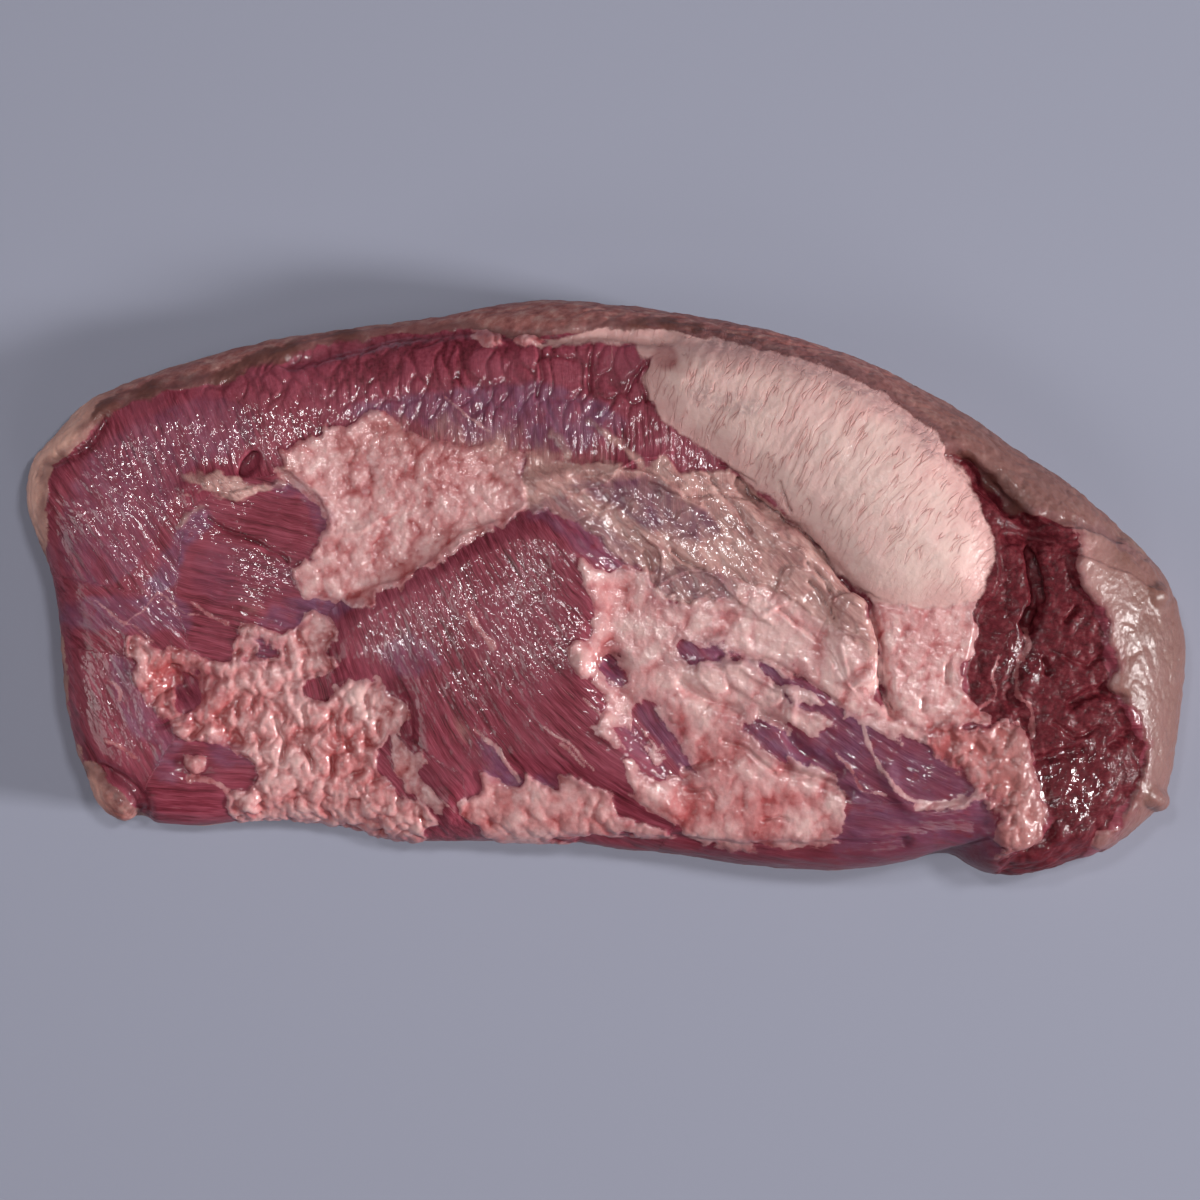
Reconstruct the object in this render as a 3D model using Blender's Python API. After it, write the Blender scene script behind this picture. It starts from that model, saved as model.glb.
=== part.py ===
"""A whole packer brisket, raw, lying on its fat cap: the thin flat at -X, the thick point at +X.

It is one piece of meat, so it is one solid. The rounded slab comes first: an outline, a
thickness that grows towards the point, and edges that roll over to a flat underside. The
tissues are relief on it: the raised hard fat pad, the swell of the main muscle, lumpy soft
fat, the stepped cut face of the point, and the grooves, pits and slits between them.

Sizes are in millimetres and become metres when the mesh is made. The origin is the middle
of the underside, +X is the length and +Z is up.
"""

import bpy
import numpy as np

# Driving dimensions
LENGTH = 500.0
WIDTH = 246.5
RIM_HEIGHT = 0.43
CROWN_DROP = 7.0
REST_INSET = {"flat": 15.0, "far": 17.0, "point": 20.0, "near": 13.0}
SHOULDER = {"flat": 17.0, "far": 27.0, "point": 36.0, "near": 19.0}

# Thickness of the slab along the length, before the pad and the muscles rise from it
THICKNESS_AT = [
    (-250, 34), (-215, 38), (-165, 41), (-110, 45), (-60, 51), (-5, 60),
    (50, 68), (100, 74), (150, 76), (190, 71), (222, 61), (250, 49),
]

# The widest line round the meat, from the flat's far corner clockwise
OUTLINE = [
    (-238, 64), (-214, 85), (-180, 97), (-140, 107), (-80, 115), (-20, 123), (35, 116),
    (90, 104), (140, 82), (180, 56), (210, 35), (238, 7), (249, -20), (247, -50), (242, -82),
    (231, -98), (210, -113), (185, -122), (163, -121), (146, -114), (115, -118), (80, -119),
    (42, -115), (0, -111), (-40, -108), (-85, -108), (-113, -102), (-145, -99), (-178, -102),
    (-207, -97), (-223, -78), (-231, -50), (-234, -22), (-238, 6), (-248, 35), (-247, 52),
]

# Marks on the upper side are placed as they look from straight above, from this height
SIGHT_HEIGHT = 1150.0
SIGHT_LEVEL = 28.0
SIGHT_CENTRE = (-1.0, -5.6)

# The line that the rings of the mesh shrink to, the spacing of its points, and what is kept
SPINE = ((-140.0, -6.0), (145.0, -18.0))
SPACING = 2.2
TRIANGLES = 11600

# The hard fat pad: a raised cushion with a crease under its lower left edge
PAD_RISE = 4.0
PAD_EDGE = 18.0
PAD_SWELL = 4.0
PAD = [
    (20, 98), (18, 86), (26, 72), (40, 63), (54, 51), (66, 43), (84, 27), (97, 12), (107, 1),
    (120, -6), (145, -9), (160, -6), (167, 6), (168, 22), (163, 35), (155, 50), (149, 63),
    (135, 74), (115, 87), (95, 96), (66, 103), (40, 106),
]
CREASE = [(58, 46), (70, 34), (84, 26), (96, 12), (106, 1), (114, -7), (117, -22), (119, -38), (124, -53)]
CREASE_DEPTH = 5.0
CREASE_HALF_WIDTH = 1.8

# The main muscle of the flat: a swelling with its grain running down to the right
MUSCLE = [
    (-90, 1), (-60, 17), (-31, 28), (-12, 22), (2, 4), (-4, -22), (4, -52), (26, -84),
    (30, -98), (6, -88), (-24, -78), (-52, -82), (-66, -98), (-78, -76), (-84, -56),
    (-90, -40), (-112, -34), (-116, -24), (-108, -12),
]
MUSCLE_RISE = 4.5

# Soft fat: lumpy patches laid over the lean
UPPER_FAT = [
    (-140, 61), (-117, 71), (-98, 76), (-84, 67), (-60, 61), (-32, 58), (-33, 42), (-50, 25),
    (-78, 10), (-100, 0), (-128, 2), (-124, 20), (-118, 34), (-136, 48),
]
FLAT_FAT = [
    (-198, -24), (-180, -30), (-160, -20), (-138, -16), (-118, -20), (-114, -36), (-92, -40),
    (-83, -52), (-88, -64), (-76, -78), (-70, -100), (-88, -107), (-118, -100), (-150, -96),
    (-146, -80), (-168, -68), (-190, -54), (-202, -38),
]
NEAR_FAT = [(-62, -98), (-50, -86), (-36, -82), (-12, -82), (2, -88), (8, -98), (-6, -108), (-40, -110)]
MIDDLE_FAT = [
    (0, -2), (20, 2), (44, -4), (50, -18), (62, -24), (96, -44), (74, -52), (100, -62), (98, -78),
    (104, -98), (92, -108), (48, -108), (36, -92), (42, -74), (26, -50), (4, -50), (-2, -28),
]
POINT_FAT = [(140, -64), (160, -60), (180, -62), (186, -84), (192, -104), (180, -112), (168, -104), (150, -82)]
FAT_RISE = 1.6
LUMP_HEIGHT = 3.0
LUMP_SIZE = 9.0

# The fold of fat beside the crease, and the thick fat round the end of the point
FOLD = [(88, -12), (100, -4), (110, -8), (113, -22), (115, -38), (106, -46), (92, -36), (84, -24)]
FOLD_RISE = 3.5
END_FAT = [(206, 8), (236, 6), (252, -14), (254, -54), (244, -92), (226, -106), (232, -78), (222, -48), (216, -22)]
END_FAT_RISE = 3.5

# The cut face of the point: coarse, stepped meat, a little lower than what lies round it
POINT_FACE = [
    (172, 26), (200, 20), (210, 0), (217, -20), (219, -40), (230, -60), (232, -78), (222, -98),
    (206, -114), (186, -120), (184, -100), (182, -76), (164, -60), (156, -38), (160, -12), (170, 4),
]
FACE_DROP = 2.5
FACE_STEP = 2.4
FACE_GRAIN = 12.0

# Hollows: centre, half length, half width, turn in degrees, depth
HOLLOWS = [
    ((167, 44), (17, 5), -40, 10.0),
    ((183, 25), (12, 6), -15, 6.0),
    ((-181, -41), (11, 8), 10, 5.5),
    ((6, -33), (6, 4), -30, 4.5),
    ((-152, 53), (4, 2.5), 60, 3.0),
    ((-176, -77), (7, 4), -10, 2.5),
]

# Slits and seams between the pieces of tissue: points, half width, depth
SLITS = [
    ([(184, 16), (186, 4), (188, -6), (184, -18)], 2.0, 7.5),
    ([(182, -24), (178, -36), (176, -48), (182, -62)], 2.4, 2.2),
    ([(203, -50), (214, -44), (222, -46)], 1.5, 4.0),
    ([(220, -66), (229, -62)], 1.5, 3.5),
    ([(184, -76), (196, -73), (206, -69)], 1.4, 3.0),
    ([(184, -78), (189, -94), (192, -108), (182, -114)], 1.7, 4.0),
    ([(-214, -78), (-205, -84), (-198, -94), (-198, -104)], 2.4, 6.0),
    ([(-236, 54), (-222, 60), (-214, 72)], 1.6, 3.0),
    ([(-135, 97), (-100, 106), (-60, 111), (-20, 108), (30, 108)], 2.0, 3.0),
    ([(-84, -48), (-82, -62)], 1.4, 3.5),
    ([(34, -40), (44, -48), (56, -52)], 1.5, 3.0),
    ([(66, -53), (76, -57), (84, -68), (100, -78)], 1.5, 2.8),
    ([(78, -77), (92, -81), (104, -87)], 1.5, 3.0),
    ([(-10, -108), (40, -110), (90, -111), (130, -108)], 1.8, 3.0),
    ([(140, -118), (154, -114), (166, -110)], 2.4, 4.0),
]

# Raised cords and rolls of tissue: points, half width, height
ROLLS = [
    ([(121, -78), (128, -90), (137, -96), (152, -94), (160, -88)], 2.2, 2.0),
    ([(-30, 46), (-8, 50), (12, 49), (34, 41)], 2.6, 1.8),
    ([(-178, 43), (-160, 46), (-142, 46)], 2.6, 1.6),
    ([(-222, -86), (-212, -93), (-206, -96)], 5.0, 3.5),
    ([(-230, 60), (-222, 68), (-215, 76)], 4.0, 3.0),
    ([(79, -42), (80, -50), (78, -58)], 1.5, 1.5),
    ([(150, -55), (164, -58), (178, -52), (182, -40)], 3.0, 1.6),
]

# Small knobs of fat: centre, radius, height
KNOBS = [
    ((237, -3), 4.5, 3.5), ((236, -89), 4.5, 4.0), ((-175, -76), 3.5, 3.0),
    ((-152, -92), 5.0, 2.5), ((-8, -33), 4.5, 2.5), ((176, -100), 9.0, 3.0),
]

# The fat cap that shows on the sides: broad shallow billows
CAP_BILLOW = 1.8
CAP_BILLOW_SIZE = 26.0

MUSCLE_RED = (0.20, 0.048, 0.062, 1.0)
FACE_RED = (0.127, 0.027, 0.036, 1.0)
SOFT_FAT = (0.44, 0.19, 0.20, 1.0)
HARD_FAT = (0.63, 0.42, 0.39, 1.0)


def smooth(value):
    held = np.clip(value, 0.0, 1.0)
    return held * held * (3.0 - 2.0 * held)


def curve_through(points, pieces, closed):
    """A Catmull-Rom curve through the points, with this many short pieces between each two."""
    given = np.array(points, float)
    if closed:
        padded = np.vstack([given[-1], given, given[:2]])
    else:
        padded = np.vstack([2 * given[0] - given[1], given, 2 * given[-1] - given[-2]])
    steps = np.linspace(0.0, 1.0, pieces, endpoint=False)[:, None]
    runs = []
    for before, start, end, after in zip(padded, padded[1:], padded[2:], padded[3:]):
        cubic = 3.0 * (start - end) + after - before
        square = 2.0 * before - 5.0 * start + 4.0 * end - after
        runs.append(start + 0.5 * steps * (end - before + steps * (square + steps * cubic)))
    if not closed:
        runs.append(given[-1:])
    return np.vstack(runs)


def along(stations, x):
    """A smooth value at x, from (position, value) stations."""
    line = curve_through(stations, 8, closed=False)
    return np.interp(x, line[:, 0], line[:, 1])


def lattice_value(cell, seed):
    """A repeatable number from 0 to 1 for each whole-number cell."""
    mixed = cell.astype(np.int64) @ np.array([73856093, 19349663, 83492791]) + seed * 2654435761
    mixed = (mixed ^ (mixed >> 13)) * 1274126177 & 0x7FFFFFFF
    mixed = (mixed ^ (mixed >> 16)) * 668265263 & 0x7FFFFFFF
    return (mixed & 0xFFFFF) / float(0xFFFFF)


CORNERS = np.array([(a, b, c) for a in (0, 1) for b in (0, 1) for c in (0, 1)])
NEIGHBOURS = np.array([(a, b, c) for a in (-1, 0, 1) for b in (-1, 0, 1) for c in (-1, 0, 1)])


def waves(points, size, seed):
    """Smooth random waves from -1 to 1, this many millimetres long."""
    scaled = points / size
    cell = np.floor(scaled)
    part = smooth(scaled - cell)
    total = np.zeros(len(points))
    for corner in CORNERS:
        weight = np.prod(np.where(corner == 1, part, 1.0 - part), axis=1)
        total += weight * lattice_value(cell + corner, seed)
    return 2.0 * total - 1.0


def lumps(points, size, seed):
    """Domes packed side by side, 1 at their tops and 0 in the seams between them."""
    scaled = points / size
    cell = np.floor(scaled)
    nearest = np.full(len(points), 9.0)
    second = np.full(len(points), 9.0)
    for step in NEIGHBOURS:
        near = cell + step
        jitter = np.stack([lattice_value(near, seed + axis) for axis in range(3)], axis=1)
        distance = np.linalg.norm(near + jitter - scaled, axis=1)
        second = np.minimum(second, np.maximum(nearest, distance))
        nearest = np.minimum(nearest, distance)
    return np.sqrt(np.clip((second - nearest) * 1.6, 0.0, 1.0))


def distance_to_line(places, line):
    """Distance from each place to a line of points."""
    nearest = np.full(len(places), np.inf)
    for start, end in zip(line, line[1:]):
        run = end - start
        part = np.clip((places - start) @ run / (run @ run), 0.0, 1.0)
        nearest = np.minimum(nearest, np.linalg.norm(places - start - part[:, None] * run, axis=1))
    return nearest


def depth_inside(places, outline):
    """Distance in from a closed outline, negative outside it."""
    line = curve_through(outline, 4, closed=True)
    ring = np.vstack([line, line[:1]])
    inside = np.zeros(len(places), bool)
    for start, end in zip(ring, ring[1:]):
        spans = (start[1] > places[:, 1]) != (end[1] > places[:, 1])
        rise = end[1] - start[1] if end[1] != start[1] else 1e-9
        crossing = start[0] + (places[:, 1] - start[1]) * (end[0] - start[0]) / rise
        inside ^= spans & (places[:, 0] < crossing)
    distance = distance_to_line(places, ring)
    return np.where(inside, distance, -distance)


def by_side(normal, sizes):
    """A size that turns smoothly from one side's value to the next with the outline's normal."""
    facing = {"flat": -normal[:, 0], "far": normal[:, 1], "point": normal[:, 0], "near": -normal[:, 1]}
    share = {side: np.clip(value, 0.0, 1.0) ** 2 for side, value in facing.items()}
    return sum(share[side] * sizes[side] for side in sizes) / sum(share.values())


def sized_outline():
    """The outline as a fine closed line, exactly as long and wide as the driving dimensions."""
    line = curve_through(OUTLINE, 12, closed=True)
    low, high = line.min(axis=0), line.max(axis=0)
    return (line - (low + high) / 2.0) * np.array([LENGTH, WIDTH]) / (high - low)


def rays_to_outline(line):
    """Where each ray of the mesh starts on the spine and where it meets the outline."""
    left, right = np.array(SPINE[0]), np.array(SPINE[1])
    across = max(int(np.linalg.norm(right - left) / SPACING), 8)
    fan = max(int(np.pi * WIDTH / 2.0 / SPACING), 8)
    starts, headings = [], []
    for step in range(across):
        starts.append(left + (right - left) * step / across)
        headings.append(90.0)
    for step in range(fan):
        starts.append(right)
        headings.append(90.0 - 180.0 * step / fan)
    for step in range(across):
        starts.append(right + (left - right) * step / across)
        headings.append(-90.0)
    for step in range(fan):
        starts.append(left)
        headings.append(-90.0 - 180.0 * step / fan)
    starts = np.array(starts)
    turn = np.radians(headings)
    toward = np.stack([np.cos(turn), np.sin(turn)], axis=1)
    reach = np.full(len(starts), np.inf)
    for begin, end in zip(line, np.roll(line, -1, axis=0)):
        run = end - begin
        crossed = toward[:, 0] * run[1] - toward[:, 1] * run[0]
        crossed = np.where(np.abs(crossed) < 1e-12, 1e-12, crossed)
        gap = begin - starts
        far = (gap[:, 0] * run[1] - gap[:, 1] * run[0]) / crossed
        place = (gap[:, 0] * toward[:, 1] - gap[:, 1] * toward[:, 0]) / crossed
        hit = (far > 0.0) & (place >= 0.0) & (place <= 1.0)
        reach = np.where(hit, np.minimum(reach, far), reach)
    return starts, toward, reach


def slab_rings(starts, toward, reach):
    """Rings of points from the spine over the top, round the edge and in under to the spine."""
    rim = starts + toward * reach[:, None]
    ahead = np.roll(rim, -1, axis=0) - np.roll(rim, 1, axis=0)
    normal = np.stack([-ahead[:, 1], ahead[:, 0]], axis=1)
    normal /= np.linalg.norm(normal, axis=1, keepdims=True)
    normal *= np.sign(np.sum(normal * toward, axis=1, keepdims=True))
    lean_in = np.clip(np.sum(normal * toward, axis=1), 0.55, 1.0)
    shoulder = by_side(normal, SHOULDER) / lean_in
    inset = by_side(normal, REST_INSET) / lean_in

    def top_height(place):
        crown = ((place[:, 1] + 4.0) / (WIDTH / 2.0)) ** 2
        return along(THICKNESS_AT, place[:, 0]) - CROWN_DROP * crown

    rim_height = RIM_HEIGHT * top_height(rim)
    inner = int(reach.mean() / SPACING)
    rings = []
    for step in range(inner):
        place = starts + toward * ((reach - shoulder) * step / inner)[:, None]
        rings.append(np.column_stack([place, top_height(place)]))
    for turn in np.linspace(0.0, np.pi / 2.0, int(SHOULDER["far"] * 1.5 / SPACING), endpoint=False):
        place = starts + toward * (reach - shoulder * (1.0 - np.sin(turn)))[:, None]
        height = rim_height + (top_height(place) - rim_height) * np.cos(turn) ** 0.85
        rings.append(np.column_stack([place, height]))
    for turn in np.linspace(0.0, np.pi / 2.0, int(REST_INSET["far"] * 1.5 / SPACING) + 1):
        place = starts + toward * (reach - inset * (1.0 - np.cos(turn)))[:, None]
        rings.append(np.column_stack([place, rim_height * (1.0 - np.sin(turn))]))
    for share in (0.6, 0.3, 0.0):
        place = starts + toward * ((reach - inset) * share)[:, None]
        rings.append(np.column_stack([place, np.zeros(len(place))]))
    return np.array(rings)


def ring_normals(rings):
    """The outward normal at each point of the rings."""
    around = np.roll(rings, -1, axis=1) - np.roll(rings, 1, axis=1)
    outward = np.empty_like(rings)
    outward[1:-1] = rings[2:] - rings[:-2]
    outward[0] = rings[1] - rings[0]
    outward[-1] = rings[-1] - rings[-2]
    normal = np.cross(outward, around)
    size = np.linalg.norm(normal, axis=2, keepdims=True)
    normal = normal / np.maximum(size, 1e-9)
    middle = len(rings) // 4
    if normal[middle, :, 2].mean() < 0.0:
        normal = -normal
    normal[0] = (0.0, 0.0, 1.0)
    normal[-1] = (0.0, 0.0, -1.0)
    return normal


def as_seen(points):
    """Where points look to be from straight above, drawn on the level of the sight."""
    centre = np.array(SIGHT_CENTRE)
    grown = (SIGHT_HEIGHT - SIGHT_LEVEL) / (SIGHT_HEIGHT - points[:, 2])
    return centre + (points[:, :2] - centre) * grown[:, None]


def raised(places, outline, rise, edge):
    """A plateau of this rise over the outline, with edges this wide."""
    return rise * smooth(depth_inside(places, outline) / edge + 0.5)


def hollow(places, centre, halves, turn, depth):
    angle = np.radians(turn)
    offset = places - np.array(centre)
    length = (offset[:, 0] * np.cos(angle) + offset[:, 1] * np.sin(angle)) / halves[0]
    width = (offset[:, 1] * np.cos(angle) - offset[:, 0] * np.sin(angle)) / halves[1]
    return -depth * np.exp(-((length**2 + width**2) ** 1.5))


def line_relief(places, points, half_width, height):
    """A rounded ridge along a curve, or a groove if the height is negative."""
    distance = distance_to_line(places, curve_through(points, 4, closed=False))
    return height * np.exp(-((distance / (1.3 * half_width)) ** 2))


def soft_fat_share(places):
    patches = [UPPER_FAT, FLAT_FAT, NEAR_FAT, MIDDLE_FAT, POINT_FAT]
    return np.max([smooth(depth_inside(places, patch) / 4.0 + 0.5) for patch in patches], axis=0)


def top_relief(points):
    """How far each point of the upper side moves out from the plain slab."""
    ragged = np.stack([waves(points, 11.0, 3), waves(points, 11.0, 4)], axis=1)
    places = as_seen(points) + 1.6 * ragged
    pad_depth = depth_inside(places, PAD)
    relief = PAD_RISE * smooth(pad_depth / PAD_EDGE + 0.15) + PAD_SWELL * smooth(pad_depth / 34.0)
    relief += raised(places, MUSCLE, MUSCLE_RISE, 16.0)
    relief += raised(places, FOLD, FOLD_RISE, 7.0)
    relief += raised(places, END_FAT, END_FAT_RISE, 8.0)
    fat = soft_fat_share(places)
    bumps = lumps(points, LUMP_SIZE, 11)
    relief += fat * (FAT_RISE + LUMP_HEIGHT * (bumps - 0.5))
    face = smooth(depth_inside(places, POINT_FACE) / 3.0 + 0.5)
    relief += face * (FACE_STEP * 2.0 * (lumps(points, FACE_GRAIN, 21) - 0.6) - FACE_DROP)
    for centre, halves, turn, depth in HOLLOWS:
        relief += hollow(places, centre, halves, turn, depth)
    for points_of_slit, half_width, depth in SLITS:
        relief += line_relief(places, points_of_slit, half_width, -depth)
    relief += line_relief(places, CREASE, CREASE_HALF_WIDTH, -CREASE_DEPTH)
    for points_of_roll, half_width, height in ROLLS:
        relief += line_relief(places, points_of_roll, half_width, height)
    for centre, radius, height in KNOBS:
        distance = np.linalg.norm(places - np.array(centre), axis=1)
        relief += height * smooth(1.2 - distance / radius)
    plain = (1.0 - fat) * (1.0 - face) * smooth(-pad_depth / 6.0 + 0.5)
    relief += plain * (1.1 * waves(points, 24.0, 31) + 0.5 * waves(points, 9.0, 32))
    return relief


def carve(rings):
    """Moves the points of the rings out by the relief: the tissues on top, billows on the sides."""
    normal = ring_normals(rings)
    points = rings.reshape(-1, 3)
    facing = normal.reshape(-1, 3)
    upper = smooth((facing[:, 2] + 0.15) / 0.45)
    billow = CAP_BILLOW * waves(points, CAP_BILLOW_SIZE, 41) + 0.8 * waves(points, 10.0, 42)
    clear_of_rest = smooth((points[:, 2] - 3.0) / 10.0)
    relief = upper * top_relief(points) + (1.0 - upper) * billow
    moved = points + facing * (relief * clear_of_rest)[:, None]
    low = points[:, 2] <= 0.001
    moved[low, 2] = 0.0
    return moved.reshape(rings.shape)


def closed_mesh(name, rings, across, fan):
    """Sews the rings into one closed body; the first and last ring fold onto the spine."""
    count = rings.shape[1]

    def spine_index(step):
        if step < across:
            return step
        if step < across + fan:
            return across
        if step < 2 * across + fan:
            return 2 * across + fan - step
        return 0

    folded = [spine_index(step) for step in range(count)]
    firsts = [folded.index(place) for place in range(across + 1)]
    middle = rings[1:-1].reshape(-1, 3)
    opposite = [folded[::-1].index(place) for place in range(across + 1)]
    opposite = [count - 1 - place for place in opposite]
    top = (rings[0, firsts] + rings[0, opposite]) / 2.0
    bottom = (rings[-1, firsts] + rings[-1, opposite]) / 2.0
    points = np.vstack([middle, top, bottom]) / 1000.0
    inner_rings = len(rings) - 2
    top_start = inner_rings * count
    bottom_start = top_start + across + 1

    def index(ring, step):
        step %= count
        if ring == 0:
            return top_start + folded[step]
        if ring == len(rings) - 1:
            return bottom_start + folded[step]
        return (ring - 1) * count + step

    faces = []
    for ring in range(len(rings) - 1):
        for step in range(count):
            corners = [index(ring, step), index(ring, step + 1)]
            corners += [index(ring + 1, step + 1), index(ring + 1, step)]
            corners = list(dict.fromkeys(corners))
            faces.append(corners)
    mesh = bpy.data.meshes.new(name)
    mesh.from_pydata(points.tolist(), [], faces)
    mesh.validate()
    return mesh


def face_outward(mesh):
    """Turns the faces round if the closed mesh is inside out."""
    mesh.calc_loop_triangles()
    corners = np.array([[mesh.vertices[v].co[:] for v in t.vertices] for t in mesh.loop_triangles])
    volume = np.einsum("ij,ij->i", corners[:, 0], np.cross(corners[:, 1], corners[:, 2])).sum()
    if volume < 0.0:
        mesh.flip_normals()


def fit_to_size(rings):
    """Centres the carved rings over the origin, exactly as long and wide as the driving dimensions."""
    flat = rings.reshape(-1, 3)
    low, high = flat.min(axis=0), flat.max(axis=0)
    middle = np.array([(low[0] + high[0]) / 2.0, (low[1] + high[1]) / 2.0, 0.0])
    growth = np.array([LENGTH / (high[0] - low[0]), WIDTH / (high[1] - low[1]), 1.0])
    return (rings - middle) * growth


def flesh_material():
    """Wet raw meat, coloured by the tissue colour that its mesh carries."""
    material = bpy.data.materials.new("raw_brisket")
    material.use_nodes = True
    shader = material.node_tree.nodes["Principled BSDF"]
    shader.inputs["Base Color"].default_value = MUSCLE_RED
    shader.inputs["Roughness"].default_value = 0.38
    shader.inputs["Metallic"].default_value = 0.0
    tissue = material.node_tree.nodes.new("ShaderNodeVertexColor")
    tissue.layer_name = "tissue"
    material.node_tree.links.new(tissue.outputs["Color"], shader.inputs["Base Color"])
    return material


def colour_tissues(mesh):
    """Gives each vertex the colour of the tissue there."""
    points = np.array([vertex.co[:] for vertex in mesh.vertices]) * 1000.0
    places = as_seen(points)
    colour = np.tile(np.array(MUSCLE_RED), (len(points), 1))

    def paint(share, tint):
        share = share[:, None]
        colour[:] = colour * (1.0 - share) + np.array(tint) * share

    paint(soft_fat_share(places), SOFT_FAT)
    paint(smooth(depth_inside(places, POINT_FACE) / 3.0 + 0.5), FACE_RED)
    paint(smooth(depth_inside(places, END_FAT) / 3.0 + 0.5), SOFT_FAT)
    paint(smooth(depth_inside(places, PAD) / 3.0 + 0.5), HARD_FAT)
    paint(smooth((0.30 * points[:, 0] / LENGTH + 20.0 - points[:, 2]) / 8.0), SOFT_FAT)
    layer = mesh.color_attributes.new(name="tissue", type="FLOAT_COLOR", domain="POINT")
    layer.data.foreach_set("color", colour.ravel())


def make_brisket():
    line = sized_outline()
    starts, toward, reach = rays_to_outline(line)
    rings = fit_to_size(carve(slab_rings(starts, toward, reach)))
    across = int(np.linalg.norm(np.array(SPINE[1]) - np.array(SPINE[0])) / SPACING)
    fan = int(np.pi * WIDTH / 2.0 / SPACING)
    mesh = closed_mesh("brisket", rings, across, fan)
    face_outward(mesh)
    colour_tissues(mesh)
    mesh.shade_smooth()
    brisket = bpy.data.objects.new("brisket", mesh)
    bpy.context.scene.collection.objects.link(brisket)
    mesh.materials.append(flesh_material())
    mesh.calc_loop_triangles()
    fewer = brisket.modifiers.new("fewer_faces", "DECIMATE")
    fewer.ratio = TRIANGLES / len(mesh.loop_triangles)
    fewer.use_collapse_triangulate = True
    return brisket


def main():
    for old in list(bpy.data.objects):
        bpy.data.objects.remove(old, do_unlink=True)
    make_brisket()


main()
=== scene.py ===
"""The finished look of the raw whole packer brisket, seen from straight above.

The skin of the meat is modelled at 0.68 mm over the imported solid's form. Its tissues are
patches drawn on the upper side: lean muscle with its grain, soft fat in lobules, the hard fat
pad, tan membrane and film, purple silverskin, the coarse cut face of the point and the dried
fat cap. Each vertex carries how deep it lies inside each tissue, in millimetres, and the
material turns those depths into colour, gloss and fine relief. Lengths are in millimetres
until a mesh is made.
"""

import math

import bmesh
import bpy
import numpy as np
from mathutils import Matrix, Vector


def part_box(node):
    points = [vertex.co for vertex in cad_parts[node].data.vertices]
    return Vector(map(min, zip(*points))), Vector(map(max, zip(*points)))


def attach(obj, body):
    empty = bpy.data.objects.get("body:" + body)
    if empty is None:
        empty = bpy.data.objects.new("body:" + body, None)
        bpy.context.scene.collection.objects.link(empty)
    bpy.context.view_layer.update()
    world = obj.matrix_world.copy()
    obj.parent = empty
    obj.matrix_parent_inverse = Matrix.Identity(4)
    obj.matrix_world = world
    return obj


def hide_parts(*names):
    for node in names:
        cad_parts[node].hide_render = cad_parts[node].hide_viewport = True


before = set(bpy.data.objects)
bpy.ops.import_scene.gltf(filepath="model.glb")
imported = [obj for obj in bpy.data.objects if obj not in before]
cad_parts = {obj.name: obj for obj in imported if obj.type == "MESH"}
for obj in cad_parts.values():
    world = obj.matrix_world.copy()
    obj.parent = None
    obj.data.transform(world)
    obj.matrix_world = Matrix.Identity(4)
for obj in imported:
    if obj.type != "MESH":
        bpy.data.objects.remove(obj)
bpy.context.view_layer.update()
NODE_LOW, NODE_HIGH = (np.array(corner) * 1000.0 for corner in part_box("brisket"))

# The steps of the skin and of the form under it, and how far out a depth or a distance is told
SKIN_STEP = 0.68
FORM_STEP = 1.8
REACH = 12.0

# The slab: its crown, its rim's height as a share of the thickness, and how its edges roll over and under
RIM_HEIGHT = 0.43
CROWN_DROP = 7.0
CROWN_LINE = -4.0
HALF_WIDTH = 123.0
SHOULDER_FALL = 0.85
REST_INSET = {"flat": 15.0, "far": 17.0, "point": 20.0, "near": 13.0}
SHOULDER = {"flat": 17.0, "far": 27.0, "point": 36.0, "near": 19.0}
THICKNESS_AT = [
    (-250, 34), (-215, 38), (-165, 41), (-110, 45), (-60, 51), (-5, 60), (50, 68), (100, 74), (150, 76),
    (190, 71), (222, 61), (250, 49),
]
OUTLINE = [
    (-238, 64), (-214, 85), (-180, 97), (-140, 107), (-80, 115), (-20, 123), (35, 116), (90, 104),
    (140, 82), (180, 56), (210, 35), (238, 7), (249, -20), (247, -50), (242, -82), (231, -98),
    (210, -113), (185, -122), (163, -121), (146, -114), (115, -118), (80, -119), (42, -115), (0, -111),
    (-40, -108), (-85, -108), (-113, -102), (-145, -99), (-178, -102), (-207, -97), (-223, -78),
    (-231, -50), (-234, -22), (-238, 6), (-248, 35), (-247, 52),
]
SPINE = ((-140.0, -6.0), (145.0, -18.0))

# The camera hangs straight above; marks are placed as it sees them on the sight level
CAMERA_HEIGHT = 1150.0
SIGHT_LEVEL = 28.0
SIGHT_CENTRE = (-1.0, -5.6)
VIEW_WIDTH = 516.0
SENSOR = 36.0

# Where lean, pad and membrane end and the fat cap of the sides begins
TOP_FACE = [
    (-237, -4), (-239, 20), (-239, 40), (-236, 50), (-230, 57), (-221, 64), (-214, 74), (-200, 81),
    (-185, 85), (-170, 88), (-158, 90), (-148, 95), (-135, 100), (-120, 104), (-100, 107), (-80, 109),
    (-60, 111), (-45, 108), (-30, 107), (-4, 111), (10, 111), (30, 110), (60, 104), (80, 99), (100, 93),
    (115, 86), (127, 78), (139, 69), (149, 60), (158, 53), (168, 40), (182, 31), (205, 26), (232, 10),
    (262, 0), (262, -150), (-180, -150), (-196, -99), (-202, -92), (-212, -82), (-224, -72), (-229, -55),
    (-230, -34), (-233, -22),
]

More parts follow.
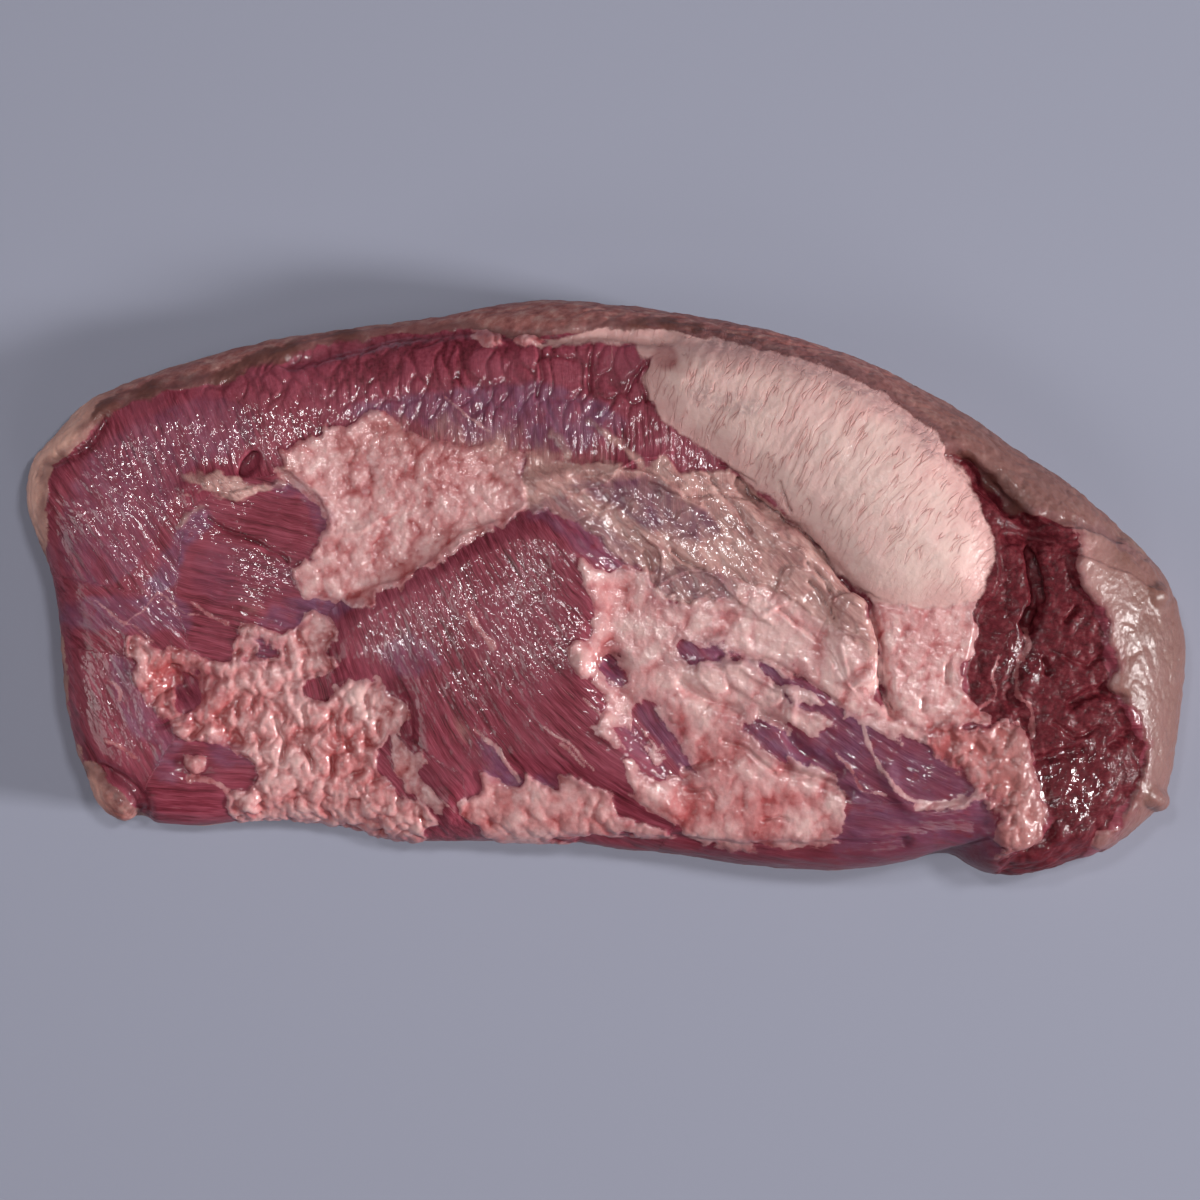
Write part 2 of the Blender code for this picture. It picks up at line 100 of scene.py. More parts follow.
PAD = [
    (20, 98), (18, 86), (26, 72), (40, 63), (54, 51), (66, 43), (84, 27), (97, 12), (107, 1), (120, -6),
    (145, -9), (160, -6), (167, 6), (168, 22), (163, 35), (155, 50), (149, 63), (135, 74), (115, 87),
    (95, 96), (66, 103), (40, 106),
]
PAD_RISE = 4.0
PAD_EDGE = 18.0
PAD_SWELL = 4.0
PAD_MIDDLE = (95.0, 45.0)
PAD_HEADING = 62.0
PAD_TURN = 0.22
CREASE = [
    (58, 46), (70, 34), (84, 26), (96, 12), (106, 1), (114, -7), (117, -22), (119, -38), (124, -53),
]
CREASE_DEPTH = 5.0
CREASE_HALF_WIDTH = 1.5
RIM_BAND = [
    (-30, 104), (-15, 107), (-4, 112), (10, 112), (30, 112), (66, 108), (60, 98), (36, 101), (24, 101),
    (17, 98), (14, 104), (0, 105), (-14, 104),
]

MUSCLE = [
    (-90, 1), (-60, 17), (-31, 28), (-12, 22), (2, 4), (-4, -22), (4, -52), (26, -84), (30, -98),
    (6, -88), (-24, -78), (-52, -82), (-66, -98), (-78, -76), (-84, -56), (-90, -40), (-112, -34),
    (-116, -24), (-108, -12),
]
MUSCLE_RISE = 4.5

POINT_FACE = [
    (171, 25), (186, 24), (198, 21), (203, 16), (202, 8), (206, 1), (212, -8), (216, -20), (215, -28),
    (219, -36), (217, -44), (222, -48), (228, -60), (232, -70), (231, -82), (226, -92), (218, -102),
    (205, -116), (190, -126), (170, -126), (176, -115), (190, -108), (193, -101), (190, -92), (187, -80),
    (184, -70), (180, -62), (168, -60), (160, -52), (156, -40), (158, -24), (160, -11), (168, -3),
    (171, 8),
]
FACE_SURROUND = [
    (140, 62), (146, 68), (158, 60), (168, 48), (182, 38), (208, 32), (212, 20), (206, 0), (190, -14),
    (160, -14), (150, -8), (160, 0), (162, 20), (156, 40),
]
FACE_DROP = 2.5
FACE_STEP = 0.9
FACE_GRAIN = 12.0

# Soft fat: outline, redness, lift over the lean, lump size, lump height
FAT = [
    ([(-141, 61), (-130, 61), (-122, 66), (-117, 72), (-110, 70), (-100, 76), (-92, 73), (-84, 66),
      (-70, 62), (-48, 62), (-31, 57), (-34, 48), (-33, 36), (-44, 27), (-60, 18), (-72, 9), (-86, 2),
      (-97, -4), (-99, -9), (-107, -8), (-118, -4), (-129, -3), (-134, 8), (-127, 14), (-121, 21),
      (-117, 31), (-124, 40), (-136, 50)], 0.36, 0.7, 8.0, 0.45),
    ([(-205, -19), (-190, -26), (-176, -29), (-166, -31), (-160, -28), (-158, -21), (-151, -17),
      (-136, -18), (-124, -10), (-114, -19), (-119, -27), (-114, -33), (-122, -39), (-128, -43),
      (-126, -48), (-117, -47), (-112, -41), (-98, -40), (-88, -47), (-82, -52), (-84, -58), (-91, -64),
      (-98, -78), (-88, -89), (-76, -91), (-73, -99), (-80, -110), (-112, -104), (-130, -101),
      (-155, -101), (-160, -92), (-150, -84), (-152, -73), (-166, -68), (-178, -67), (-188, -57),
      (-198, -47), (-203, -33)], 0.42, 0.6, 7.5, 2.8),
    ([(-90, -62), (-84, -66), (-75, -73), (-74, -78), (-80, -80), (-74, -88), (-67, -94), (-72, -98),
      (-80, -92), (-88, -82), (-91, -72)], 0.3, 0.4, 6.0, 0.8),
    ([(-61, -98), (-58, -91), (-53, -87), (-54, -80), (-49, -80), (-44, -85), (-36, -85), (-31, -80),
      (-27, -84), (-19, -86), (-19, -79), (-11, -80), (-4, -86), (3, -88), (6, -97), (14, -101),
      (30, -104), (31, -108), (10, -106), (-12, -109), (-36, -112), (-50, -107)], 0.4, 1.2, 11.0, 1.5),
    ([(-10, 12), (-4, 8), (4, 6), (12, 8), (24, 6), (40, 7), (52, 4), (64, 2), (84, -8), (100, -18),
      (116, -30), (119, -48), (128, -57), (142, -61), (150, -63), (141, -72), (120, -66), (108, -62),
      (104, -80), (104, -104), (98, -110), (60, -113), (38, -109), (28, -100), (14, -88), (7, -74),
      (-3, -60), (3, -50), (-4, -40), (-10, -36), (-13, -30), (-6, -22), (-4, -8)], 0.16, 0.4, 12.0, 0.6),
    ([(-11, -22), (-5, -26), (-3, -34), (-5, -39), (-10, -38), (-14, -32)], 0.2, 0.8, 9.0, 0.3),
    ([(42, -32), (47, -33), (53, -38), (54, -45), (47, -45), (42, -39)], 0.0, 1.6, 14.0, 0.4),
    ([(53, -33), (64, -34), (74, -42), (79, -46), (74, -51), (64, -49), (56, -43)], 0.0, 1.8, 14.0, 0.4),
    ([(79, -42), (88, -45), (95, -51), (86, -52), (80, -49)], 0.0, 1.2, 14.0, 0.4),
    ([(118, 2), (140, 2), (160, 0), (162, -12), (160, -24), (157, -38), (160, -50), (168, -59),
      (150, -61), (136, -62), (122, -57), (107, -54), (98, -51), (106, -46), (113, -44), (120, -50),
      (119, -38), (117, -22)], 0.3, 0.7, 6.0, 0.4),
    ([(138, -67), (147, -58), (158, -60), (174, -58), (184, -66), (185, -78), (189, -91), (192, -102),
      (184, -111), (171, -115), (169, -104), (165, -93), (158, -84), (145, -75)], 0.60, 1.2, 7.5, 2.0),
    ([(203, 30), (216, 26), (238, 14), (262, 8), (262, -16), (262, -56), (252, -92), (228, -116),
      (211, -111), (222, -102), (228, -89), (232, -78), (234, -67), (229, -57), (223, -46), (217, -42),
      (220, -36), (218, -25), (216, -13), (208, -4), (203, 6), (205, 14)], 0.0, 1.0, 20.0, 0.5),
    ([(-57, 111), (-50, 110), (-43, 108), (-44, 104), (-51, 105)], 0.6, 1.6, 5.0, 1.6),
    ([(-39, 107), (-30, 109), (-26, 106), (-33, 103)], 0.6, 1.6, 5.0, 1.4),
    ([(-179, -73), (-173, -73), (-171, -77), (-175, -80), (-179, -78)], 0.35, 1.8, 6.0, 0.4),
    ([(-160, -87), (-152, -88), (-148, -93), (-154, -98), (-161, -97)], 0.3, 1.0, 6.0, 1.4),
]

# Redness, lump size and height off the patches; patches laid over windows; the patch at the point's end
FAT_ELSEWHERE = (0.35, 10.0, 0.0)
OVER_WINDOWS = slice(6, 9)
END_FAT_PATCH = 11

# Lean or silverskin that shows through the fat: outline, how purple
WINDOWS = [
    ([(-1, -34), (5, -31), (9, -36), (8, -42), (2, -42)], 0.7),
    ([(16, -51), (23, -52), (31, -61), (38, -72), (40, -79), (34, -78), (26, -68), (17, -58)], 0.75),
    ([(6, -62), (13, -60), (21, -72), (28, -77), (26, -82), (18, -78), (11, -71)], 0.35),
    ([(36, -24), (48, -23), (60, -29), (75, -35), (88, -41), (96, -48), (106, -54), (104, -59),
      (95, -55), (82, -51), (76, -46), (67, -40), (54, -35), (44, -35), (37, -34), (33, -29)], 0.75),
    ([(61, -59), (71, -56), (81, -62), (94, -63), (101, -56), (108, -53), (116, -59), (126, -65),
      (139, -67), (145, -75), (158, -84), (165, -93), (169, -104), (170, -116), (140, -122),
      (100, -118), (104, -100), (108, -92), (100, -85), (94, -79), (84, -77), (74, -72), (64, -66)], 0.8),
    ([(44, -111), (60, -112), (90, -114), (100, -114), (96, -122), (40, -122)], 0.2),
    ([(-176, -36), (-170, -40), (-172, -50), (-180, -52), (-184, -44)], 0.1),
    ([(-150, -22), (-144, -21), (-141, -29), (-149, -31)], 0.9),
    ([(22, 7), (34, 9), (50, 6), (58, -2), (54, -8), (44, -6), (32, -5), (24, -1)], 0.6),
]

# Redder and paler places in the fat: place, radius, redness added
BLUSH = [
    ((-84, 62), 22.0, 0.26), ((-60, 50), 16.0, 0.18), ((-108, 20), 22.0, 0.06), ((-183, -38), 13.0, 0.62),
    ((-172, -54), 8.0, 0.4), ((-112, -68), 11.0, 0.42), ((-100, -84), 9.0, 0.3), ((-104, -44), 9.0, -0.3),
    ((-150, -50), 8.0, 0.2), ((46, -84), 12.0, 0.42), ((66, -98), 17.0, 0.36), ((60, -66), 10.0, 0.26),
    ((34, -60), 6.0, 0.3), ((136, -24), 10.0, 0.2), ((150, -60), 8.0, 0.35), ((172, -82), 10.0, 0.3),
    ((14, -40), 7.0, 0.35), ((26, -12), 12.0, 0.16), ((8, -20), 8.0, -0.1), ((-136, 62), 9.0, 0.2),
    ((2, -4), 9.0, 0.35), ((-3, -24), 8.0, 0.35), ((2, -46), 8.0, 0.3), ((27, 99), 6.0, 0.9),
    ((36, 92), 5.0, 0.3), ((150, 30), 12.0, 0.25), ((120, 66), 14.0, 0.2),
]

# Dark dried places along the edges: place, radius, strength
SCABS = [
    ((-214, 76), 8.0, 1.0), ((-196, 86), 9.0, 0.8), ((-160, 95), 12.0, 1.0), ((-138, 101), 10.0, 0.9),
    ((-110, 107), 9.0, 0.7), ((28, 114), 5.0, 1.0), ((16, 113), 5.0, 0.9), ((40, 113), 5.0, 0.9),
    ((158, 56), 5.0, 0.9), ((168, 46), 5.0, 0.9), ((178, 36), 5.0, 0.8), ((-224, -80), 5.0, 0.8),
    ((-206, -98), 5.0, 0.7), ((238, -3), 4.0, 0.6), ((-237, 60), 4.0, 0.7), ((200, 29), 6.0, 0.5),
]

# Strings of fat across the lean: points, half width, redness
FAT_STRINGS = [
    ([(-55, -61), (-49, -66), (-42, -74), (-36, -83)], 1.0, 0.2),
    ([(-118, 31), (-122, 36), (-131, 44), (-140, 50)], 1.6, 0.4),
    ([(-18, -68), (-13, -72), (-8, -77)], 0.6, 0.3),
    ([(-58, -12), (-52, -19), (-47, -26)], 1.3, 0.5),
    ([(-218, -6), (-212, -10), (-207, -15), (-200, -18), (-193, -23)], 0.3, 0.5),
    ([(-191, -2), (-197, -10), (-206, -16)], 0.4, 0.5),
    ([(-192, -1), (-187, -5), (-180, -11), (-174, -12)], 0.3, 0.5),
    ([(-213, -40), (-208, -44), (-208, -49)], 0.9, 0.5),
    ([(-214, -66), (-208, -68), (-201, -73)], 0.8, 0.6),
    ([(-177, -7), (-169, -12), (-161, -16)], 0.6, 0.8),
    ([(-178, -82), (-170, -83), (-163, -86), (-160, -90)], 1.3, 0.4),
    ([(182, -18), (183, -26), (178, -34), (179, -46), (184, -53), (185, -64)], 1.2, 1.0),
    ([(171, -30), (168, -38), (169, -46), (163, -52), (158, -58)], 0.7, 1.0),
    ([(111, -53), (114, -66), (120, -78), (129, -89), (140, -94), (152, -95)], 0.9, 0.0),
    ([(136, -94), (148, -94), (156, -92), (163, -89)], 2.2, 0.0),
    ([(101, -72), (108, -80), (113, -88), (122, -89)], 0.6, 0.2),
    ([(-68, 82), (-60, 75), (-48, 67)], 0.5, 0.2),
    ([(-26, -60), (-14, -68), (-4, -78)], 0.4, 0.2),
    ([(-8, -48), (2, -58), (10, -70)], 0.4, 0.2),
]

# Thin tan membrane, left over from the ribs
TAN = [
    [(-182, 48), (-172, 49), (-163, 48), (-156, 46), (-150, 43), (-138, 46), (-140, 42), (-147, 40),
     (-152, 38), (-163, 39), (-172, 40), (-182, 38), (-174, 43)],
    [(-33, 57), (-22, 53), (-8, 54), (4, 52), (18, 50), (24, 55), (30, 53), (33, 50), (46, 52),
     (58, 48), (72, 34), (84, 26), (96, 13), (106, 1), (114, -8), (118, -28), (118, -42), (108, -46),
     (98, -45), (86, -30), (74, -24), (62, -16), (56, -10), (44, -8), (32, -7), (24, -2), (20, 4),
     (10, 11), (-6, 24), (-22, 33), (-33, 35)],
]
TAN_STRINGS = [
    ([(-6, 71), (2, 66), (10, 60), (17, 52)], 1.4),
    ([(-21, 66), (-18, 63), (-15, 57)], 1.9),
    ([(-140, 50), (-130, 52), (-118, 50)], 1.2),
    ([(-172, 34), (-178, 31), (-182, 26)], 1.0),
]
FOLD = [(99, -20), (101, -7), (107, -2), (114, -5), (116, -16), (115, -38), (110, -43), (104, -36)]
FOLD_RISE = 3.0

# A thin tan film over fat and lean, with no edge of its own: middle, radius and cover
FILM = [
    ((-88, 66), 12, 0.5), ((-66, 67), 12, 0.6), ((-44, 60), 12, 0.7), ((-24, 54), 11, 0.7),
    ((-4, 50), 9, 0.6), ((-112, 58), 9, 0.5), ((-136, 52), 9, 0.5), ((-46, 42), 8, 0.4),
    ((-118, 8), 8, 0.4), ((-150, -6), 10, 0.35), ((-60, -60), 7, 0.4), ((-46, -76), 7, 0.4),
]

# Purple silverskin, each with how much it hides the lean
SILVER = [
    ([(-171, 34), (-177, 32), (-183, 25), (-188, 15), (-195, 4), (-198, 0), (-188, -3), (-182, 7),
      (-177, 18), (-169, 27)], 0.95),
    ([(-233, -9), (-222, -5), (-204, -3), (-188, -3), (-178, -11), (-178, -19), (-190, -19),
      (-206, -19), (-230, -17)], 0.75),
    ([(-139, -7), (-128, -4), (-105, -5), (-108, -10), (-118, -15), (-130, -18), (-148, -17),
      (-144, -12)], 0.95),
    ([(-96, -28), (-84, -21), (-72, -26), (-70, -34), (-86, -38)], 0.6),
    ([(-53, -65), (-44, -72), (-34, -83), (-40, -87), (-50, -80)], 0.9),
    ([(-212, -30), (-202, -32), (-197, -44), (-188, -58), (-181, -64), (-184, -72), (-196, -66),
      (-208, -56)], 0.6),
    ([(-192, -68), (-184, -72), (-184, -83), (-190, -84)], 0.7),
    ([(-170, -62), (-156, -60), (-148, -68), (-152, -76), (-166, -76)], 0.6),
    ([(-112, 75), (-96, 80), (-74, 84), (-48, 88), (-22, 86), (-4, 80), (10, 72), (2, 64), (-14, 58),
      (-34, 60), (-62, 64), (-84, 72)], 0.8),
    ([(-34, 30), (-22, 38), (-6, 34), (6, 22), (16, 12), (8, 6), (-8, 14), (-22, 26)], 0.6),
    ([(-14, 44), (4, 48), (20, 47), (34, 40), (44, 32), (50, 24), (44, 20), (30, 22), (18, 26), (8, 32),
      (-4, 38)], 0.9),
    ([(-28, -80), (-20, -80), (-19, -86), (-26, -84)], 0.8),
    ([(-230, 40), (-206, 68), (-164, 82), (-148, 64), (-178, 50), (-190, 24), (-208, 2), (-232, 6)], 0.4),
    ([(-168, 20), (-150, 14), (-128, 4), (-140, -6), (-160, -8), (-176, 0)], 0.22),
    ([(-142, 44), (-132, 46), (-126, 41), (-138, 40)], 0.7),
    ([(-129, 39), (-119, 37), (-114, 28), (-117, 20), (-121, 24)], 0.7),
    ([(45, 110), (80, 104), (100, 98), (115, 91), (128, 83), (142, 73), (152, 63), (158, 55), (150, 49),
      (134, 65), (123, 74), (111, 82), (97, 89), (78, 95), (60, 99), (45, 102)], 0.8),
    ([(38, 86), (58, 83), (73, 78), (60, 73), (44, 77)], 0.35),
]

# Where the lean is wet and glints, and where painted sheen streaks its colour: place, radius
WET = [
    ((-205, 52), 34.0), ((-150, 74), 22.0), ((-32, 2), 17.0), ((-64, -8), 14.0), ((-14, -26), 15.0),
    ((-92, -26), 14.0), ((-206, -50), 20.0), ((-150, 6), 14.0), ((-52, -40), 17.0), ((-104, 88), 24.0),
    ((176, -30), 16.0), ((140, -80), 10.0), ((205, -98), 20.0), ((8, 20), 7.0), ((224, -18), 10.0),
    ((196, -78), 16.0),
]

# Hollows: centre, half length, half width, turn in degrees, depth
HOLLOWS = [
    ((167, 44), (17, 5), -40, 10.0),
    ((183, 25), (12, 6), -15, 6.0),
    ((-181, -41), (11, 8), 10, 5.5),
    ((6, -33), (6, 4), -30, 4.5),
    ((-152, 53), (4, 2.5), 60, 3.0),
    ((-176, -77), (7, 4), -10, 2.5),
]
SLITS = [
    ([(184, 16), (186, 4), (188, -6), (184, -18)], 2.0, 7.5),
    ([(182, -24), (178, -36), (176, -48), (182, -62)], 2.4, 2.2),
    ([(203, -50), (214, -44), (222, -46)], 1.5, 4.0),
    ([(220, -66), (229, -62)], 1.5, 3.5),
    ([(184, -76), (196, -73), (206, -69)], 1.4, 3.0),
    ([(184, -78), (189, -94), (192, -108), (182, -114)], 1.7, 4.0),
    ([(-214, -78), (-205, -84), (-198, -94), (-198, -104)], 2.4, 6.0),
    ([(-236, 54), (-222, 60), (-214, 72)], 1.6, 3.0),
    ([(-135, 97), (-100, 106), (-60, 111), (-20, 108), (30, 108)], 2.0, 3.0),
    ([(-84, -48), (-82, -62)], 1.4, 3.5),
    ([(34, -40), (44, -48), (56, -52)], 1.5, 3.0),
    ([(66, -53), (76, -57), (84, -68), (100, -78)], 1.5, 2.8),
    ([(78, -77), (92, -81), (104, -87)], 1.5, 3.0),
    ([(-10, -108), (40, -110), (90, -111), (130, -108)], 1.8, 3.0),
    ([(140, -118), (154, -114), (166, -110)], 2.4, 4.0),
]
ROLLS = [
    ([(121, -78), (128, -90), (137, -96), (152, -94), (160, -88)], 2.2, 2.0),
    ([(-30, 46), (-8, 50), (12, 49), (34, 41)], 2.6, 1.8),
    ([(-178, 43), (-160, 46), (-142, 46)], 2.6, 1.6),
    ([(-222, -86), (-212, -93), (-206, -96)], 5.0, 3.5),
    ([(-230, 60), (-222, 68), (-215, 76)], 4.0, 3.0),
    ([(79, -42), (80, -50), (78, -58)], 1.5, 1.5),
    ([(150, -55), (164, -58), (178, -52), (182, -40)], 3.0, 1.6),
]
KNOBS = [
    ((237, -3), 4.5, 3.5), ((236, -89), 4.5, 4.0), ((-175, -76), 3.5, 3.0), ((-152, -92), 5.0, 2.5),
    ((-8, -33), 4.5, 2.5), ((176, -100), 9.0, 3.0),
]
CAP_BILLOW = 1.8
CAP_BILLOW_SIZE = 41.6

# Torn edges of membrane and fat: points with the raised side on their left, rise, width
FLAPS = [
    ([(18, 21), (25, 12), (24, 2), (31, 4), (39, 7), (47, 5), (53, -1), (62, -8), (70, -15)], 1.5, 3.0),
    ([(42, 36), (25, 47), (11, 51), (-1, 49)], 1.2, 3.5),
    ([(102, -3), (92, 7), (82, 19), (68, 29), (58, 37), (48, 43)], 1.0, 3.0),
    ([(58, -11), (66, -14), (72, -11), (78, -8)], 1.0, 2.5),
    ([(107, -41), (101, -31), (96, -22), (84, -17), (74, -10)], 1.5, 4.0),
    ([(110, -43), (116, -39), (117, -25), (114, -9), (108, -3), (100, -5)], 1.6, 3.0),
    ([(108, -41), (104, -29), (98, -17), (100, -5)], 1.0, 2.5),
    ([(74, -3), (78, 7), (86, 8), (94, 3), (97, -7), (94, -19)], -1.0, 2.5),
    ([(10, 8), (2, 14), (-8, 20), (-20, 30), (-31, 38)], 0.9, 3.0),
    ([(-10, 40), (0, 44), (10, 52), (24, 56)], 1.0, 2.5),
    ([(-150, 43), (-162, 41), (-172, 42)], 1.0, 2.0),
    ([(-136, 50), (-124, 42), (-118, 31)], 1.0, 2.5),
    ([(-116, 22), (-104, 24), (-92, 30)], 0.8, 3.0),
    ([(-50, 26), (-64, 20), (-78, 8), (-96, 0)], 1.0, 4.0),
    ([(36, -33), (52, -34), (66, -39), (76, -45), (88, -49)], 0.9, 3.0),
    ([(96, -46), (84, -39), (70, -32), (52, -27), (38, -23)], 0.9, 3.0),
    ([(236, -1), (226, 4), (216, 9), (204, 14)], 1.6, 6.0),
    ([(226, 16), (216, 22), (204, 25), (194, 27)], 1.2, 5.0),
]

# Fine cracks that only the skin has: points, half width, depth
CRACKS = [
    (CREASE, 0.5, 2.2),
    ([(-154, 50), (-150, 56)], 1.3, 3.5),
    ([(151, 58), (160, 50), (168, 42), (177, 33), (184, 27)], 2.0, 4.0),
    ([(184, 14), (187, 4), (188, -5)], 1.0, 3.0),
    ([(184, -10), (182, -15)], 1.3, 3.0),
    ([(190, 31), (204, 28), (222, 22)], 1.8, 1.4),
    ([(194, -58), (204, -64), (214, -60)], 0.8, 1.6),
    ([(200, -30), (208, -34), (214, -30)], 0.8, 1.6),
    ([(76, 46), (77, 40), (81, 33)], 0.5, 1.6),
    ([(107, 0), (116, -4), (130, -9)], 0.5, 0.8),
    ([(90, 2), (96, -8), (98, -14)], 0.7, 1.6),
    ([(76, -10), (86, -18), (95, -23), (97, -20)], 0.7, 1.8),
    ([(95, -24), (102, -34), (105, -39)], 0.6, 1.4),
    ([(88, 10), (95, 4), (97, -2)], 0.7, 1.4),
    ([(50, -30), (70, -31), (84, -38), (100, -50)], 0.6, 1.2),
    ([(148, -33), (148, -40)], 0.7, 1.8),
    ([(138, -48), (138, -53)], 0.7, 1.4),
    ([(52, -65), (60, -69), (70, -76), (74, -79)], 0.5, 1.4),
    ([(70, -99), (80, -100)], 0.6, 1.6),
    ([(36, -87), (46, -87), (49, -90)], 0.6, 1.8),
    ([(36, -78), (46, -76)], 0.8, 1.8),
    ([(-28, 104), (-26, 92), (-28, 82)], 0.7, 1.4),
    ([(-3, 104), (-5, 94), (-6, 84)], 0.7, 1.4),
    ([(17, 96), (14, 90), (11, 84)], 0.8, 1.4),
    ([(19, 98), (18, 88), (19, 80)], 0.6, 1.6),
    ([(-62, 104), (-60, 96), (-62, 90)], 0.6, 0.9),
    ([(-150, -48), (-156, -44), (-160, -50)], 0.8, 1.6),
    ([(-128, -52), (-127, -66), (-125, -78)], 1.0, 2.4),
    ([(-140, -56), (-137, -66), (-137, -76)], 1.0, 2.4),
    ([(-101, -47), (-101, -56)], 0.6, 1.5),
    ([(-170, 30), (-163, 25), (-154, 22), (-148, 18), (-140, 15), (-136, 11)], 0.7, 1.5),
    ([(50, 52), (60, 48), (66, 45)], 0.6, 1.2),
    ([(46, 50), (49, 42), (56, 36), (64, 24)], 0.6, 1.2),
    ([(20, 44), (34, 40), (48, 40), (60, 38)], 0.6, 0.9),
    ([(30, 16), (38, 10), (44, 8)], 0.6, 1.4),
    ([(22, 2), (21, 8), (18, 14)], 0.8, 1.6),
    ([(-180, -56), (-186, -58), (-192, -60)], 0.9, 1.6),
    ([(190, -32), (192, -36)], 0.9, 2.4),
    ([(200, -14), (203, -10)], 0.9, 2.4),
]

# The way the muscle fibres run: degrees from +X, turn per millimetre to the right, middle, places held
GRAIN = [
    (-55, 0.0, (-205, 20), [(-215, 30), (-205, 10)]),
    (-68, 0.0, (-180, 66), [(-190, 66), (-150, 75)]),
    (-13, 0.0, (-155, 8), [(-160, 5), (-140, 20)]),
    (-88, 0.0, (-60, 90), [(-100, 90), (-60, 88), (-20, 84), (10, 90)]),
    (-56, 0.22, (-45, -35), [ (-70, -8), (-30, 8), (-30, -30), (-60, -60), (-5, -66), (10, -80),
        (-40, -80), (-84, -30)]),
    (-50, 0.0, (-80, -85), [(-80, -90)]),
    (-60, 0.0, (-212, -50), [(-215, -45), (-210, -75)]),
    (-4, 0.0, (-180, -90), [(-180, -92)]),
    (-42, 0.0, (-205, -10), [(-210, -12)]),
    (-40, 0.15, (90, -60), [(60, -40), (90, -65), (130, -80), (30, -66)]),
    (-10, 0.0, (130, -106), [(60, -114), (130, -106)]),
]

# Colours; a table of tones gives the value that each stands at, and a pair is a dark and a pale tone
LEAN_TONES = [(0.36, (0.072, 0.005, 0.010)), (0.50, (0.190, 0.024, 0.042)), (0.64, (0.300, 0.060, 0.090))]
PALE_LEAN = (0.27, 0.056, 0.086)
POINT_LEAN = (0.120, 0.014, 0.024)
MARBLING = (0.45, 0.20, 0.20)
# Painted sheen: a pale lilac laid in streaks over wet lean
PAINTED_SHEEN = (0.40, 0.19, 0.23)
# Painted shade along the near edge, where the side rolls under
NEAR_EDGE_SHADE = (0.10, 0.012, 0.018)
SILVER_TONES = [(0.3, (0.090, 0.022, 0.048)), (0.52, (0.170, 0.054, 0.108)), (0.78, (0.31, 0.165, 0.235))]
POINT_SILVER = (0.092, 0.021, 0.046)
DARK_SILVER = (0.120, 0.026, 0.042)
MEMBRANE_TONES = [(0.3, (0.31, 0.125, 0.122)), (0.5, (0.45, 0.235, 0.212)), (0.72, (0.57, 0.350, 0.315))]
CREASE_BROWN = (0.20, 0.080, 0.070)
FILM_BROWN = (0.28, 0.085, 0.070)
# The soft fat from pale to red; its red also stands for painted shade between the lumps
FAT_TONES = [
    (0.0, (0.65, 0.400, 0.380)), (0.3, (0.59, 0.300, 0.295)),
    (0.6, (0.48, 0.175, 0.175)), (1.0, (0.32, 0.058, 0.060)),
]
# Tones of the fat towards the point's end: its own waxy tan, made darker as painted shade
WAXY_SHADED_TONES = [(0.35, (0.140, 0.066, 0.050)), (0.65, (0.225, 0.120, 0.094))]
SHADED_END_FAT = ((0.18, 0.070, 0.064), (0.29, 0.150, 0.135))
SHADED_OUTER_FAT = (0.13, 0.050, 0.040)
CUT_TONES = [(0.32, (0.032, 0.003, 0.005)), (0.58, (0.088, 0.009, 0.014)), (0.85, (0.175, 0.036, 0.044))]
WET_CUT = (0.070, 0.006, 0.009)
PAD_TONES = [(0.3, (0.64, 0.405, 0.38)), (0.55, (0.64, 0.455, 0.415))]
# Partly the pinker tone of the pad's far side and partly painted shade
SHADED_PAD_FAR = (0.60, 0.330, 0.310)
# Partly the pinker tone of the pad's end and partly painted shade
SHADED_PAD_END = (0.45, 0.235, 0.225)
PAD_RED = (0.24, 0.045, 0.048)
PAD_GREY = (0.26, 0.165, 0.17)
PAD_FLUSH = (0.46, 0.195, 0.180)
PAD_CRACK = (0.33, 0.105, 0.095)
PAD_RIM = ((0.40, 0.17, 0.165), (0.60, 0.36, 0.34))
CAP_TONES = [(0.3, (0.18, 0.050, 0.048)), (0.5, (0.32, 0.120, 0.110)), (0.72, (0.46, 0.26, 0.23))]
LOW_CAP_TONES = [(0.3, (0.42, 0.215, 0.190)), (0.7, (0.60, 0.395, 0.340))]
# Partly the cap's own dried brown and partly painted shade, towards the point
SHADED_POINT_CAP = ((0.088, 0.032, 0.028), (0.190, 0.100, 0.088))
# Partly the pale fat of the flat's lip and partly painted light
LIT_FLAT_LIP = ((0.60, 0.31, 0.24), (0.88, 0.54, 0.44))
CAP_END = (0.26, 0.165, 0.105)
CAP_SCAB = (0.130, 0.048, 0.042)
CAP_BORDER = (0.150, 0.062, 0.066)
CRUST = ((0.066, 0.018, 0.015), (0.170, 0.064, 0.052))
# Painted shade in the hollows of the relief: its tone on lean and on fat
CREVICE_SHADE = ((0.075, 0.007, 0.010), (0.29, 0.055, 0.055))

# The pieces of the skin, the values they carry, and what the vertices of the underside have
REGIONS = ["flat", "muscle", "middle", "pad", "point", "far_side", "near_side"]
CARRIED = (
    "fat", "hard", "tan", "cut", "top", "silver", "redness", "tone", "wet", "aged", "scab", "cobble", "film",
    "crevice_shade", "grain",
)
UNSEEN = {
    "fat": -REACH, "hard": -REACH, "tan": -REACH, "cut": -REACH, "top": -30.0, "tone": 0.5, "redness": 0.3,
}
REST_LEVEL = 0.15

